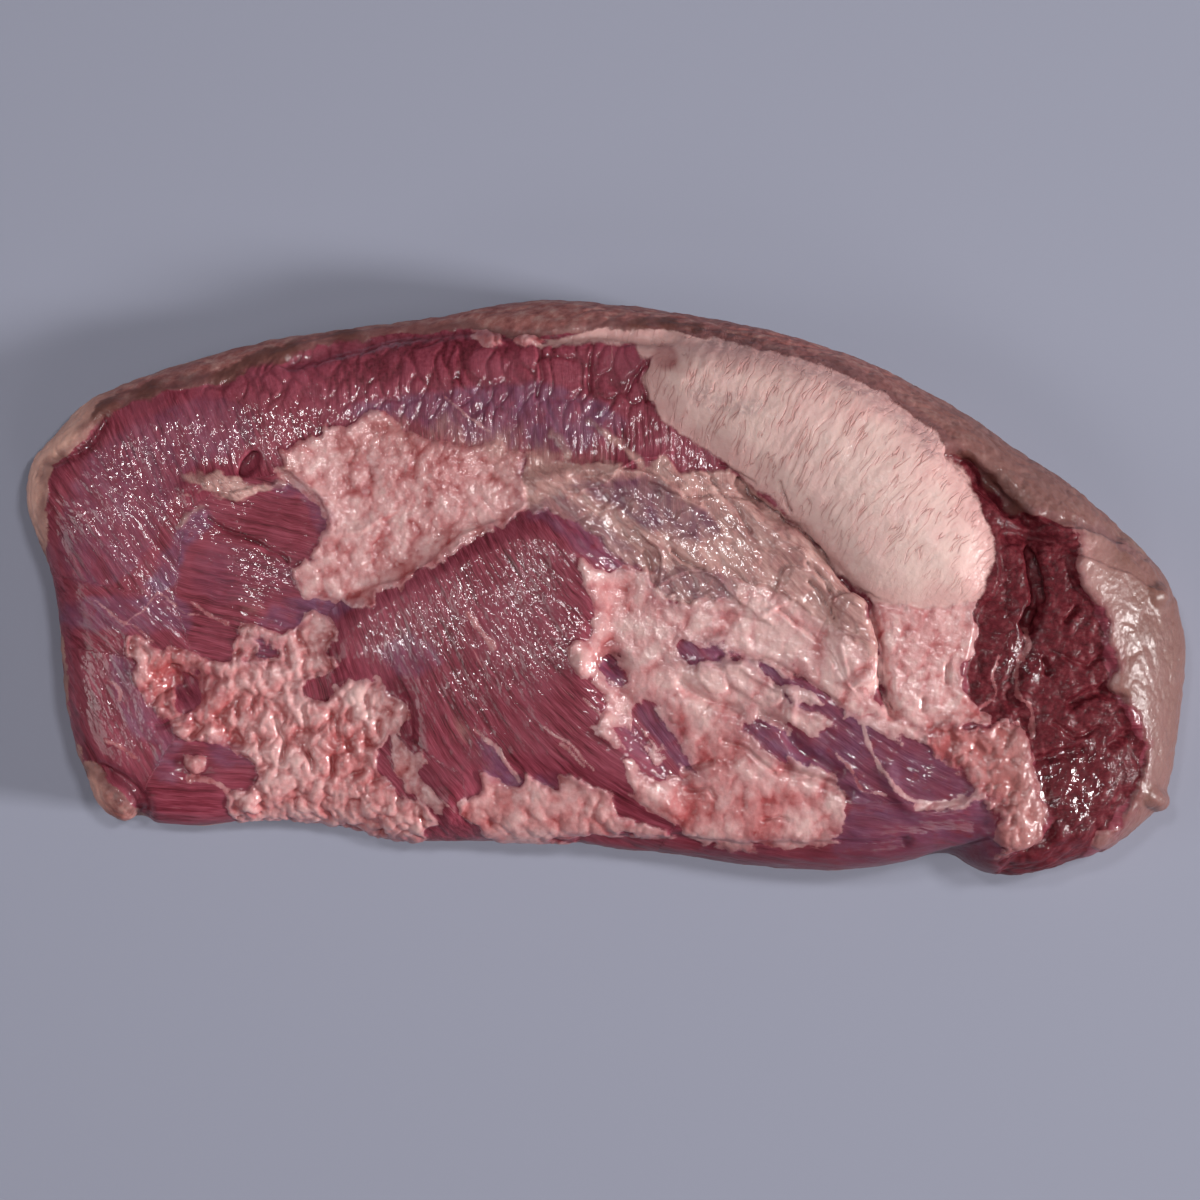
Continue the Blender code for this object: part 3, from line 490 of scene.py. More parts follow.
# The studio, in metres: lamps with place, target, width and height, power and colour
FLOOR_REACH = 6.0
FLOOR_COLOUR = (0.262, 0.272, 0.346)
STUDIO_COLOUR = (1.0, 0.93, 0.97)
STUDIO_STRENGTH = 0.09
LAMPS = [
    ("key", (4.1, -0.74, 1.47), (0, 0, 0.03), (0.7, 0.7), 250.0, (1.0, 0.99, 0.98)),
    ("left_soft", (-1.35, -0.35, 1.35), (0, 0, 0), (0.8, 0.8), 6.0, (1.0, 0.96, 0.95)),
    ("near_fill", (0.5, -1.6, 1.4), (0, 0, 0), (0.6, 0.6), 4.0, (1.0, 0.96, 0.95)),
    ("spark", (0.42, 0.26, 1.65), (0, 0, 0), (0.14, 0.22), 9.0, (1.0, 1.0, 1.0)),
    ("spark_left", (-0.26, 0.30, 1.65), (0, 0, 0), (0.12, 0.12), 4.2, (1.0, 1.0, 1.0)),
]


# Noise

RANDOM = np.random.default_rng(7)
SHUFFLE = RANDOM.permutation(256)
SLOPES = RANDOM.normal(size=(256, 3))
SLOPES /= np.linalg.norm(SLOPES, axis=1, keepdims=True)
SCATTER = RANDOM.random((256, 3))
CUBE = [(a, b, c) for a in (0, 1) for b in (0, 1) for c in (0, 1)]
AROUND = [(a, b, c) for a in (-1, 0, 1) for b in (-1, 0, 1) for c in (-1, 0, 1)]


def smooth(value):
    held = np.clip(value, 0.0, 1.0)
    return held * held * (3.0 - 2.0 * held)


def within(depth, soft):
    """1 inside a tissue and 0 outside it, from how deep a place lies in it."""
    return smooth(depth / soft + 0.5)


def blended(first, second, share):
    return first * (1.0 - share) + second * share


def lattice(cell, seed):
    """A repeatable number from 0 to 255 for each whole-number cell."""
    mixed = SHUFFLE[(cell[0] + seed * 37) & 255]
    mixed = SHUFFLE[(mixed + cell[1]) & 255]
    return SHUFFLE[(mixed + cell[2] + seed) & 255]


def waves(points, size, seed, octaves=1):
    """Smooth random waves from about -1 to 1, this many millimetres long; size may differ by axis."""
    total = np.zeros(len(points))
    strength = 1.0
    for octave in range(octaves):
        scaled = (points / np.asarray(size, float) * 2.0**octave).T
        cell = np.floor(scaled).astype(np.int64)
        part = scaled - cell
        fade = part * part * part * (part * (part * 6.0 - 15.0) + 10.0)
        for corner in CUBE:
            slope = SLOPES[lattice([cell[axis] + corner[axis] for axis in range(3)], seed + octave)]
            weight = 1.0
            rise = 0.0
            for axis in range(3):
                weight = weight * (fade[axis] if corner[axis] else 1.0 - fade[axis])
                rise = rise + slope[:, axis] * (part[axis] - corner[axis])
            total += strength * weight * rise * 1.6
        strength *= 0.5
    return total


def cells(points, size, seed):
    """Distance to the nearest scattered seed and to the next one, in seeds' spacing."""
    scaled = (points / np.asarray(size, float)).T
    cell = np.floor(scaled).astype(np.int64)
    nearest = np.full(len(points), 9.0)
    second = np.full(len(points), 9.0)
    for step in AROUND:
        near = [cell[axis] + step[axis] for axis in range(3)]
        jitter = SCATTER[lattice(near, seed)]
        gap = sum((near[axis] + jitter[:, axis] - scaled[axis]) ** 2 for axis in range(3))
        second = np.minimum(second, np.maximum(nearest, gap))
        nearest = np.minimum(nearest, gap)
    return np.sqrt(nearest), np.sqrt(second)


def domes(points, size, seed):
    """Domes packed side by side, 1 at their tops and 0 in the seams between them."""
    nearest, second = cells(points, size, seed)
    return np.sqrt(np.clip((second - nearest) * 1.6, 0.0, 1.0))


def bent(points, size, seed, share=0.45):
    """The points moved about by waves, so that a pattern laid over them loses its evenness."""
    reach = np.asarray(size, float) * np.ones(3)
    moves = [waves(points, reach * 1.4, seed + axis) for axis in range(3)]
    return points + share * reach * np.stack(moves, axis=1)


def lobes(points, size, seed):
    """Round lobes pressed together, 1 at their tops and falling to where they meet."""
    nearest, _ = cells(points, size, seed)
    return np.sqrt(np.clip(1.0 - (nearest / 0.82) ** 2, 0.0, 1.0))


def billows(points, size, seed):
    """Rounded lumps of uneven size and shape, 0 in the creases between them."""
    return np.clip(1.5 * np.abs(waves(bent(points, size, seed + 5), size, seed)) ** 0.65, 0.0, 1.0)


def sheets(points, size, seed):
    """Flaking sheets: even levels with thin steps between them."""
    level = 2.4 * waves(points, size, seed, 3)
    whole = np.floor(level)
    return whole + smooth((level - whole - 0.78) / 0.22)


def ahead_and_aside(offset, degrees):
    """How far each offset reaches along a heading in plan, and how far to the left of it."""
    angle = np.radians(degrees)
    ahead = offset[:, 0] * np.cos(angle) + offset[:, 1] * np.sin(angle)
    aside = offset[:, 1] * np.cos(angle) - offset[:, 0] * np.sin(angle)
    return ahead, aside


def turned(points, degrees):
    """The points with X along this heading in plan."""
    return np.stack([*ahead_and_aside(points, degrees), points[:, 2]], axis=1)


# Outlines and lines

def curve_through(points, pieces, closed=False):
    """A Catmull-Rom curve through the points, with this many short pieces between each two."""
    given = np.array(points, float)
    if closed:
        padded = np.vstack([given[-1], given, given[:2]])
    else:
        padded = np.vstack([2 * given[0] - given[1], given, 2 * given[-1] - given[-2]])
    steps = np.linspace(0.0, 1.0, pieces, endpoint=False)[:, None]
    runs = []
    for before, start, end, after in zip(padded, padded[1:], padded[2:], padded[3:]):
        cubic = 3.0 * (start - end) + after - before
        square = 2.0 * before - 5.0 * start + 4.0 * end - after
        runs.append(start + 0.5 * steps * (end - before + steps * (square + steps * cubic)))
    if not closed:
        runs.append(given[-1:])
    return np.vstack(runs)


def near_box(places, line, margin):
    """Which places lie within this margin of the line's box."""
    low, high = line.min(axis=0) - margin, line.max(axis=0) + margin
    return np.flatnonzero(((places > low) & (places < high)).all(axis=1))


def gaps_to(spots, start, run):
    """Each spot's offset from the start of a straight run, and its squared distance to the run."""
    across, up = spots[:, 0] - start[0], spots[:, 1] - start[1]
    part = np.clip((across * run[0] + up * run[1]) / max(run @ run, 1e-9), 0.0, 1.0)
    return across, up, (across - part * run[0]) ** 2 + (up - part * run[1]) ** 2


def distance_to_line(places, line, margin=REACH, signed=False):
    """Distance to a line of points, no more than the margin; if signed, negative to the line's right."""
    nearest = np.full(len(places), margin)
    close = near_box(places, line, margin)
    spots = places[close]
    best = np.full(len(spots), margin**2)
    side = np.ones(len(spots))
    for start, end in zip(line, line[1:]):
        run = end - start
        across, up, gap = gaps_to(spots, start, run)
        if signed:
            side = np.where(gap < best, np.sign(run[0] * up - run[1] * across), side)
        best = np.minimum(best, gap)
    nearest[close] = side * np.sqrt(best)
    return nearest


def depth_inside(places, outline, margin=REACH):
    """Distance in from a closed outline, negative outside it, held within the margin outside."""
    line = curve_through(outline, 3, closed=True)
    ring = np.vstack([line, line[:1]])
    close = near_box(places, ring, margin)
    spots = places[close]
    inside = np.zeros(len(spots), bool)
    best = np.full(len(spots), np.inf)
    for start, end in zip(ring, ring[1:]):
        run = end - start
        across, up, gap = gaps_to(spots, start, run)
        best = np.minimum(best, gap)
        spans = (start[1] > spots[:, 1]) != (end[1] > spots[:, 1])
        slope = run[0] / run[1] if run[1] else 0.0
        inside ^= spans & (across < up * slope)
    depth = np.full(len(places), -margin)
    gap = np.sqrt(best)
    depth[close] = np.where(inside, gap, -np.minimum(gap, margin))
    return depth


def as_seen(points):
    """Where points look to be from the camera, drawn on the sight level."""
    centre = np.array(SIGHT_CENTRE)
    grown = (CAMERA_HEIGHT - SIGHT_LEVEL) / (CAMERA_HEIGHT - points[:, 2])
    return centre + (points[:, :2] - centre) * grown[:, None]


def hollow(places, centre, halves, turn, depth):
    length, width = ahead_and_aside(places - np.array(centre), turn)
    return -depth * np.exp(-(((length / halves[0]) ** 2 + (width / halves[1]) ** 2) ** 1.5))


def line_relief(places, points, half_width, height):
    """A rounded ridge along a curve, or a groove if the height is negative."""
    distance = distance_to_line(places, curve_through(points, 4))
    return height * np.exp(-((distance / (1.3 * half_width)) ** 2))


def flap_relief(places, points, rise, run):
    """A torn edge that stands up on the left of a curve and eases down away from it."""
    distance = distance_to_line(places, curve_through(points, 4), signed=True)
    return rise * within(distance, 0.7) * np.exp(-np.abs(distance) / run) * (distance < 11.0)


# The form of the meat

def along(stations, x):
    line = curve_through(stations, 8)
    return np.interp(x, line[:, 0], line[:, 1])


def by_side(normal, sizes):
    """A size that turns smoothly from one side's value to the next with the outline's normal."""
    facing = {"flat": -normal[:, 0], "far": normal[:, 1], "point": normal[:, 0], "near": -normal[:, 1]}
    share = {side: np.clip(value, 0.0, 1.0) ** 2 for side, value in facing.items()}
    return sum(share[side] * sizes[side] for side in sizes) / sum(share.values())


def top_height(place):
    crown = ((place[:, 1] - CROWN_LINE) / HALF_WIDTH) ** 2
    return along(THICKNESS_AT, place[:, 0]) - CROWN_DROP * crown


def rays_to_outline(line):
    """Where each ray of the mesh starts on the spine, its heading and its reach to the outline."""
    left, right = np.array(SPINE[0]), np.array(SPINE[1])
    across = int(np.linalg.norm(right - left) / FORM_STEP)
    fan = int(np.pi * HALF_WIDTH / FORM_STEP)
    share = np.arange(across)[:, None] / across
    turn = 180.0 * np.arange(fan) / fan
    starts = np.vstack([left + (right - left) * share, np.tile(right, (fan, 1)),
                        right + (left - right) * share, np.tile(left, (fan, 1))])
    headings = np.concatenate([np.full(across, 90.0), 90.0 - turn, np.full(across, -90.0), -90.0 - turn])
    angle = np.radians(headings)
    toward = np.stack([np.cos(angle), np.sin(angle)], axis=1)
    reach = np.full(len(starts), np.inf)
    for begin, end in zip(line, np.roll(line, -1, axis=0)):
        run = end - begin
        crossed = toward[:, 0] * run[1] - toward[:, 1] * run[0]
        crossed = np.where(np.abs(crossed) < 1e-12, 1e-12, crossed)
        gap = begin - starts
        far = (gap[:, 0] * run[1] - gap[:, 1] * run[0]) / crossed
        place = (gap[:, 0] * toward[:, 1] - gap[:, 1] * toward[:, 0]) / crossed
        hit = (far > 0.0) & (place >= 0.0) & (place <= 1.0)
        reach = np.where(hit, np.minimum(reach, far), reach)
    return starts, toward, reach, across, fan


def slab_rings(starts, toward, reach):
    """Rings of points from the spine over the top, round the edge and in under to the spine."""
    rim = starts + toward * reach[:, None]
    ahead = np.roll(rim, -1, axis=0) - np.roll(rim, 1, axis=0)
    normal = np.stack([-ahead[:, 1], ahead[:, 0]], axis=1)
    normal /= np.linalg.norm(normal, axis=1, keepdims=True)
    normal *= np.sign(np.sum(normal * toward, axis=1, keepdims=True))
    slant = np.clip(np.sum(normal * toward, axis=1), 0.55, 1.0)
    shoulder = by_side(normal, SHOULDER) / slant
    inset = by_side(normal, REST_INSET) / slant
    rim_height = RIM_HEIGHT * top_height(rim)
    rings = []

    def add_ring(reaches, height_at):
        place = starts + toward * reaches[:, None]
        rings.append(np.column_stack([place, height_at(place)]))

    inner = int(reach.mean() / FORM_STEP)
    for step in range(inner):
        add_ring((reach - shoulder) * step / inner, top_height)
    over = int(SHOULDER["far"] * 1.5 / FORM_STEP)
    for turn in np.linspace(0.0, np.pi / 2.0, over, endpoint=False):
        fall = np.cos(turn) ** SHOULDER_FALL
        add_ring(reach - shoulder * (1.0 - np.sin(turn)),
                 lambda place: rim_height + (top_height(place) - rim_height) * fall)
    under = int(REST_INSET["far"] * 1.5 / FORM_STEP) + 1
    for turn in np.linspace(0.0, np.pi / 2.0, under):
        height = rim_height * (1.0 - np.sin(turn))
        add_ring(reach - inset * (1.0 - np.cos(turn)), lambda place: height)
    for share in (0.6, 0.3, 0.0):
        add_ring((reach - inset) * share, lambda place: np.zeros(len(place)))
    return np.array(rings)


def ring_normals(rings):
    around = np.roll(rings, -1, axis=1) - np.roll(rings, 1, axis=1)
    outward = np.empty_like(rings)
    outward[1:-1] = rings[2:] - rings[:-2]
    outward[0] = rings[1] - rings[0]
    outward[-1] = rings[-1] - rings[-2]
    normal = np.cross(outward, around)
    normal /= np.maximum(np.linalg.norm(normal, axis=2, keepdims=True), 1e-9)
    if normal[len(rings) // 4, :, 2].mean() < 0.0:
        normal = -normal
    normal[0] = (0.0, 0.0, 1.0)
    normal[-1] = (0.0, 0.0, -1.0)
    return normal


def form_relief(points):
    """The relief that the solid has too: pad, muscles, folds, the cut face's chunks, hollows, slits, rolls
    and knobs.
    """
    ragged = np.stack([waves(points, 22.0, 3), waves(points, 22.0, 4)], axis=1)
    places = as_seen(points) + 1.8 * ragged
    pad_depth = depth_inside(places, PAD, margin=20.0)
    relief = PAD_RISE * smooth(pad_depth / PAD_EDGE + 0.15) + PAD_SWELL * smooth(pad_depth / 34.0)
    relief += MUSCLE_RISE * within(depth_inside(places, MUSCLE, margin=20.0), 16.0)
    relief += FOLD_RISE * within(depth_inside(places, FOLD), 7.0)
    face = within(depth_inside(places, POINT_FACE), 3.0)
    relief += face * (2.0 * FACE_STEP * (domes(points, FACE_GRAIN, 21) - 0.6) - FACE_DROP)
    for centre, halves, turn, depth in HOLLOWS:
        relief += hollow(places, centre, halves, turn, depth)
    for line, half_width, depth in [*SLITS, (CREASE, CREASE_HALF_WIDTH, CREASE_DEPTH)]:
        relief += line_relief(places, line, half_width, -depth)
    for line, half_width, height in ROLLS:
        relief += line_relief(places, line, half_width, height)
    for centre, radius, height in KNOBS:
        distance = np.linalg.norm(places - np.array(centre), axis=1)
        relief += height * smooth(1.2 - distance / radius)
    relief += (1.0 - face) * within(-pad_depth, 6.0) * 1.1 * waves(points, 40.0, 31)
    return relief


def carve(rings):
    normal = ring_normals(rings)
    points = rings.reshape(-1, 3)
    facing = normal.reshape(-1, 3)
    upper = smooth((facing[:, 2] + 0.15) / 0.45)
    billow = CAP_BILLOW * waves(points, CAP_BILLOW_SIZE, 41) + 0.8 * waves(points, 16.0, 42)
    clear_of_rest = smooth((points[:, 2] - 3.0) / 10.0)
    relief = upper * form_relief(points) + (1.0 - upper) * billow
    moved = points + facing * (relief * clear_of_rest)[:, None]
    moved[points[:, 2] <= 0.001, 2] = 0.0
    return moved.reshape(rings.shape)


def fit_to_node(rings):
    """Centres the rings over the origin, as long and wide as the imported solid."""
    flat = rings.reshape(-1, 3)
    low, high = flat.min(axis=0), flat.max(axis=0)
    middle = np.array([(low[0] + high[0]) / 2.0, (low[1] + high[1]) / 2.0, 0.0])
    size = NODE_HIGH - NODE_LOW
    growth = np.array([size[0] / (high[0] - low[0]), size[1] / (high[1] - low[1]), 1.0])
    return (rings - middle) * growth


# Meshes

def mesh_from_arrays(name, points, quads):
    """A mesh in metres from points in millimetres and rows of corners; a triangle repeats its last."""
    corners = np.where(quads[:, 3] == quads[:, 2], 3, 4)
    order = quads.ravel()[np.tile(np.arange(4), len(quads)) < np.repeat(corners, 4)]
    mesh = bpy.data.meshes.new(name)
    mesh.vertices.add(len(points))
    mesh.vertices.foreach_set("co", (points / 1000.0).astype(np.float32).ravel())
    mesh.loops.add(len(order))
    mesh.loops.foreach_set("vertex_index", order.astype(np.int32))
    mesh.polygons.add(len(quads))
    starts = np.concatenate([[0], np.cumsum(corners)[:-1]])
    mesh.polygons.foreach_set("loop_start", starts.astype(np.int32))
    mesh.update(calc_edges=True)
    mesh.validate()
    return mesh


def sewn(rings, across, fan):
    """The rings as one closed mesh; the first and last ring fold onto the spine."""
    count = rings.shape[1]
    step = np.arange(count)
    folded = np.where(step < across, step, np.where(step < across + fan, across,
                      np.where(step < 2 * across + fan, 2 * across + fan - step, 0)))
    top, bottom = (np.array([ring[folded == place].mean(axis=0) for place in range(across + 1)])
                   for ring in (rings[0], rings[-1]))
    points = np.vstack([rings[1:-1].reshape(-1, 3), top, bottom])
    inner = (len(rings) - 2) * count
    index = [inner + folded]
    index += [ring * count + step for ring in range(len(rings) - 2)]
    index += [inner + across + 1 + folded]
    ahead = np.roll(step, -1)
    quads = np.vstack([np.stack([here, here[ahead], there[ahead], there], axis=1)
                       for here, there in zip(index, index[1:])])
    pinched = quads[:, 0] == quads[:, 1]
    quads[pinched] = quads[pinched][:, [0, 2, 3, 3]]
    pinched = (quads[:, 2] == quads[:, 3]) & ~pinched
    quads[pinched] = quads[pinched][:, [0, 1, 2, 2]]
    return mesh_from_arrays("form", points, quads)


def read_out(items, name, width, kind=np.float32):
    """One value of every mesh element as an array, in rows of this width."""
    values = np.empty(len(items) * width, kind)
    items.foreach_get(name, values)
    return values.reshape(-1, width) if width > 1 else values


def remeshed(mesh, step):
    """An even quad skin of this step over a closed mesh, as points in millimetres, normals and quads."""
    body = bpy.data.objects.new("form", mesh)
    bpy.context.scene.collection.objects.link(body)
    skin = body.modifiers.new("skin", "REMESH")
    skin.mode = "VOXEL"
    skin.voxel_size = step / 1000.0
    even = bpy.data.meshes.new_from_object(body.evaluated_get(bpy.context.evaluated_depsgraph_get()))
    points = read_out(even.vertices, "co", 3)
    normals = read_out(even.vertices, "normal", 3)
    quads = read_out(even.loops, "vertex_index", 1, np.int32).reshape(-1, 4)
    bpy.data.objects.remove(body)
    bpy.data.meshes.remove(even)
    return points * 1000.0, normals, quads


def quad_sides(quads):
    return np.concatenate([quads[:, [0, 1]], quads[:, [1, 2]], quads[:, [2, 3]], quads[:, [3, 0]]])


def relaxed(values, quads, rounds):
    """Values averaged with their neighbours along the quads' sides."""
    ends = quad_sides(quads)
    count = np.bincount(ends[:, 0], minlength=len(values))
    columns = list(values.reshape(len(values), -1).T)
    for _ in range(rounds):
        near = [np.bincount(ends[:, 0], column[ends[:, 1]], len(column)) for column in columns]
        columns = [0.5 * column + 0.5 * total / count for column, total in zip(columns, near)]
    return np.stack(columns, axis=1).reshape(values.shape)


# The tissues

def lean_grain(points, places):
    """Coordinates across and along the muscle fibres."""
    best = np.full(len(places), np.inf)
    grain = np.zeros((len(places), 3))
    grain[:, 2] = points[:, 2]
    for degrees, bend, middle, held in GRAIN:
        gap = np.min([np.linalg.norm(places - np.array(place), axis=1) for place in held], axis=0)
        offset = places - np.array(middle)
        ahead, aside = ahead_and_aside(offset, degrees + bend * offset[:, 0])
        nearer = gap < best
        grain[nearer, 0] = aside[nearer] + degrees
        grain[nearer, 1] = ahead[nearer]
        best = np.minimum(best, gap)
    return grain


def pad_grain(points, places):
    """Coordinates across and along the wrinkles of the hard fat pad."""
    offset = places - np.array(PAD_MIDDLE)
    ahead, aside = ahead_and_aside(offset, PAD_HEADING - PAD_TURN * offset[:, 0])
    return np.stack([aside, ahead, points[:, 2]], axis=1)


def end_grain_share(places):
    """1 along the far edge, where the fibres meet the surface end on."""
    return smooth((places[:, 1] - 62.0 - 0.12 * np.abs(places[:, 0] + 40.0)) / 10.0)


def spots_field(places, spots):
    """Soft round spots added up: each is a place, a radius and a strength."""
    total = np.zeros(len(places))
    for place, radius, strength in spots:
        distance = np.linalg.norm(places - np.array(place), axis=1) / radius
        total += strength * np.exp(-(distance**2))
    return total


def facing_up(points, normals):
    """1 on the upper side and its shoulders, 0 on the underside."""
    thickness = top_height(points[:, :2])
    high = smooth((points[:, 2] - 0.55 * thickness) / 5.0)
    return np.maximum(smooth((normals[:, 2] + 0.1) / 0.3), high)


def open_windows(field):
    """How deep each vertex lies in a window in the fat; some windows show purple silverskin."""
    window = np.full(len(field["places"]), -REACH)
    field["silver"] = np.zeros(len(window))
    for outline, purple in WINDOWS:
        depth = depth_inside(field["places"], outline)
        field["silver"] = np.maximum(field["silver"], purple * smooth(depth / 3.0 + 0.6))
        window = np.maximum(window, depth)
    return window


def add_fat(field, frayed, teeth):
    """The patches of soft fat, with the redness, lift and lumps that they give."""
    places = field["places"]
    fat = np.full(len(places), -REACH)
    lift = np.zeros(len(places))
    redness, size, height = (np.full(len(places), value) for value in FAT_ELSEWHERE)
    for outline, red, rise, lump, tall in FAT:
        depth = depth_inside(places, outline)
        inside = within(depth + 0.5 * frayed, 2.5)
        redness = blended(redness, red, inside)
        height = blended(height, tall, inside)
        size = np.where(inside > 0.5, lump, size)
        lift = np.maximum(lift, rise * inside)
        fat = np.maximum(fat, depth)
    fat = np.minimum(fat, -0.55 * open_windows(field))
    for outline, *_ in FAT[OVER_WINDOWS]:
        fat = np.maximum(fat, depth_inside(places, outline))
    fat = fat + frayed + teeth * smooth((REACH - np.abs(fat)) / REACH)
    field.update({"fat": fat, "redness": redness, "lift": lift, "height": height, "size": size})


def add_fat_strings(field, seen, wander):
    """The strings of fat across the lean, and the blush of the fat."""
    for line, half, red in FAT_STRINGS:
        depth = half - distance_to_line(seen + 0.8 * wander, curve_through(line, 4))
        depth = depth + (0.2 + 0.6 * half) * waves(field["points"], 4.0, 61, 2)
        field["redness"] = blended(field["redness"], red, within(depth, 1.2))
        field["lift"] = np.maximum(field["lift"], 0.2 * smooth(depth / max(half, 1.0)))
        field["fat"] = np.maximum(field["fat"], depth)
    field["redness"] = field["redness"] + spots_field(seen, BLUSH)


def add_tan(field, frayed):
    """The sheets and strings of tan membrane."""
    places = field["places"]
    tan = np.max([depth_inside(places, outline) for outline in TAN], axis=0) + frayed
    for line, half in TAN_STRINGS:
        near = distance_to_line(places, curve_through(line, 4))
        tan = np.maximum(tan, half - near + 0.5 * frayed)
    field["tan"] = tan


def add_silver(field, seen, wander):
    """The silverskin, none of it on the streak beside the hard fat pad."""
    places = field["places"]
    for outline, cover in SILVER:
        inside = within(depth_inside(seen + 2.0 * wander, outline), 4.0)
        field["silver"] = np.maximum(field["silver"], cover * inside)
    streak = smooth(0.5 - field["hard"] / 2.0) * smooth((places[:, 0] - 40.0) / 6.0)
    streak = streak * smooth((places[:, 1] - 50.0) / 4.0)
    field["silver"] *= (1.0 - streak) * (0.8 + 0.5 * waves(field["grain"], (6.0, 14.0, 9.0), 63, 2))


def add_rim(field, frayed):
    """How far inside the upper face each vertex lies; outside it is the fat cap."""
    points, places = field["points"], field["places"]
    by_pad = smooth((places[:, 0] - 30.0) / 20.0) * smooth((places[:, 1] - 30.0) / 20.0)
    rim = np.where(field["upper"] > 0.5, depth_inside(places, TOP_FACE, margin=30.0), -30.0)
    rim = rim + (0.8 - 0.55 * by_pad) * frayed
    field["top"] = np.minimum(rim, (points[:, 2] - 11.0) + 2.0 * frayed)


def tissues(points, upper):
    """How deep each vertex lies in each tissue, in millimetres, and what the material reads besides."""
    wander = np.stack([waves(points, 10.0, 51, 2), waves(points, 10.0, 53, 2)], axis=1)
    seen = as_seen(points)
    places = seen + 1.3 * wander
    grain = lean_grain(points, seen + 0.5 * wander)
    frayed = 2.0 * waves(points, 12.0, 55) + 1.5 * waves(points, 5.0, 56) + 0.8 * waves(points, 2.4, 57)
    teeth = 2.4 * waves(grain, (5.5, 28.0, 9.0), 58) + 0.6 * waves(grain, (2.2, 12.0, 9.0), 59)
    field = {"points": points, "grain": grain, "places": places, "upper": upper}
    field["hard"] = np.maximum(depth_inside(places, PAD), depth_inside(places, RIM_BAND)) + 0.5 * frayed
    add_fat(field, frayed, teeth)
    add_fat_strings(field, seen, wander)
    add_tan(field, frayed)
    add_silver(field, seen, wander)
    face = np.maximum(depth_inside(places, POINT_FACE), depth_inside(places, FACE_SURROUND))
    field["cut"] = face + 0.7 * frayed
    add_rim(field, frayed)
    field["scab"] = spots_field(seen, SCABS) * smooth(1.5 - np.abs(field["top"] + 1.5) / 3.5)
    wet = spots_field(seen, [(*spot, 0.8) for spot in WET]) + 0.55 * waves(points, 20.0, 65, 3)
    field["wet"] = np.clip(wet, 0.0, 1.0)
    # The waxy patch at the point's end, which also carries painted shade there
    aged = smooth((seen[:, 0] - 205.0 + 0.25 * seen[:, 1]) / 45.0 + 0.3 * waves(points, 14.0, 67, 2))
    field["aged"] = aged * within(depth_inside(places, FAT[END_FAT_PATCH][0]), 3.0)
    field["film"] = np.clip(spots_field(seen + 3.0 * wander, FILM), 0.0, 1.0)
    field["cobble"] = end_grain_share(places)
    field["grain"] = np.where(field["hard"][:, None] > 0.0, pad_grain(points, places), grain)
    return field


def lumps_of(points, field):
    """The lumps of soft fat, of the sizes that its patches give, as heights from 0 to about 1."""
    value = np.zeros(len(points))
    for size in np.unique(field["size"]):
        here = np.flatnonzero((field["size"] == size) & (field["fat"] > -1.5) & (field["upper"] > 0.2))
        spot = bent(turned(points[here], 78.0), size, 101, 0.4)
        broad = waves(spot, (size * 2.4, size * 1.6, size * 2.0), 103)
        middling = lobes(spot, (size * 1.15, size * 0.85, size * 1.4), 109)
        small = lobes(spot, (size * 0.6, size * 0.45, size), 107)
        value[here] = 0.5 + 0.3 * broad + 0.75 * (middling - 0.7) + 0.6 * (small - 0.7)
    return value


def lean_relief(points, field):
    """Fibres and furrows, and along the far edge the bundles seen end on; with their tone."""
    grain, end_grain = field["grain"], field["cobble"]
    strands = waves(grain, (1.8, 34.0, 9.0), 71) + 0.6 * waves(grain, (3.4, 20.0, 9.0), 72)
    furrows = np.clip(waves(grain, (5.5, 40.0, 12.0), 94, 2) - 0.25, 0.0, 1.0)
    fibres = 0.15 * strands - 0.45 * furrows
    fibres += (0.10 + 0.10 * field["wet"]) * waves(grain, (1.8, 5.0, 3.0), 75, 2)
    nearest, second = cells(bent(points, 9.0, 74), (7.0, 13.0, 9.0), 73)
    bundles = smooth((second - nearest) / 0.3)
    pebbles = 0.36 * (bundles - 0.9) + 0.1 * waves(points, 4.0, 76, 2)
    return blended(fibres, pebbles, end_grain), blended(0.5 + 0.5 * strands, bundles, end_grain)


def fat_relief(points, field, lumps):
    folds = waves(bent(turned(points, -42.0), 14.0, 93), (19.0, 7.5, 14.0), 92, 2)
    relief = field["lift"] + field["height"] * (lumps - 0.5)
    return relief + 0.45 * folds + 0.18 * waves(points, 2.6, 77, 2)


def membrane_relief(points):
    layers = sheets(turned(points, -38.0), (30.0, 12.0, 14.0), 79)
    pleats = waves(bent(turned(points, -44.0), 9.0, 95), (26.0, 2.8, 9.0), 96)
    return 0.5 + 0.46 * layers + 0.16 * pleats + 0.12 * waves(points, 3.0, 80, 2)


def pad_relief(places, grain):
    """The pillows of the hard fat pad, stronger towards its far side; with their tone."""
    upward = smooth((places[:, 1] - 4.0 + 0.35 * (places[:, 0] - 60.0)) / 60.0)
    pillows = waves(grain, (3.2, 11.0, 6.0), 86) + 0.6 * waves(grain, (2.0, 6.0, 6.0), 81)
    return (0.02 + 0.17 * upward) * pillows, 0.5 + 0.5 * pillows


def cut_relief(points, places):
    """The coarse torn bundles of the cut face, with their tone."""
    chunks = domes(bent(points, 12.0, 84, 0.4), (11.0, 8.0, 9.0), 83)
    morsels = domes(bent(points, 5.0, 98, 0.4), (5.2, 3.6, 4.5), 97)
    rough = 0.55 + 0.45 * smooth((places[:, 1] + 62.0) / 14.0)
    fine = 0.42 * (morsels - 0.7) + 0.12 * waves(points, 2.8, 85, 2)
    return 0.35 * (chunks - 0.7) + rough * fine, 0.45 * chunks + 0.55 * morsels


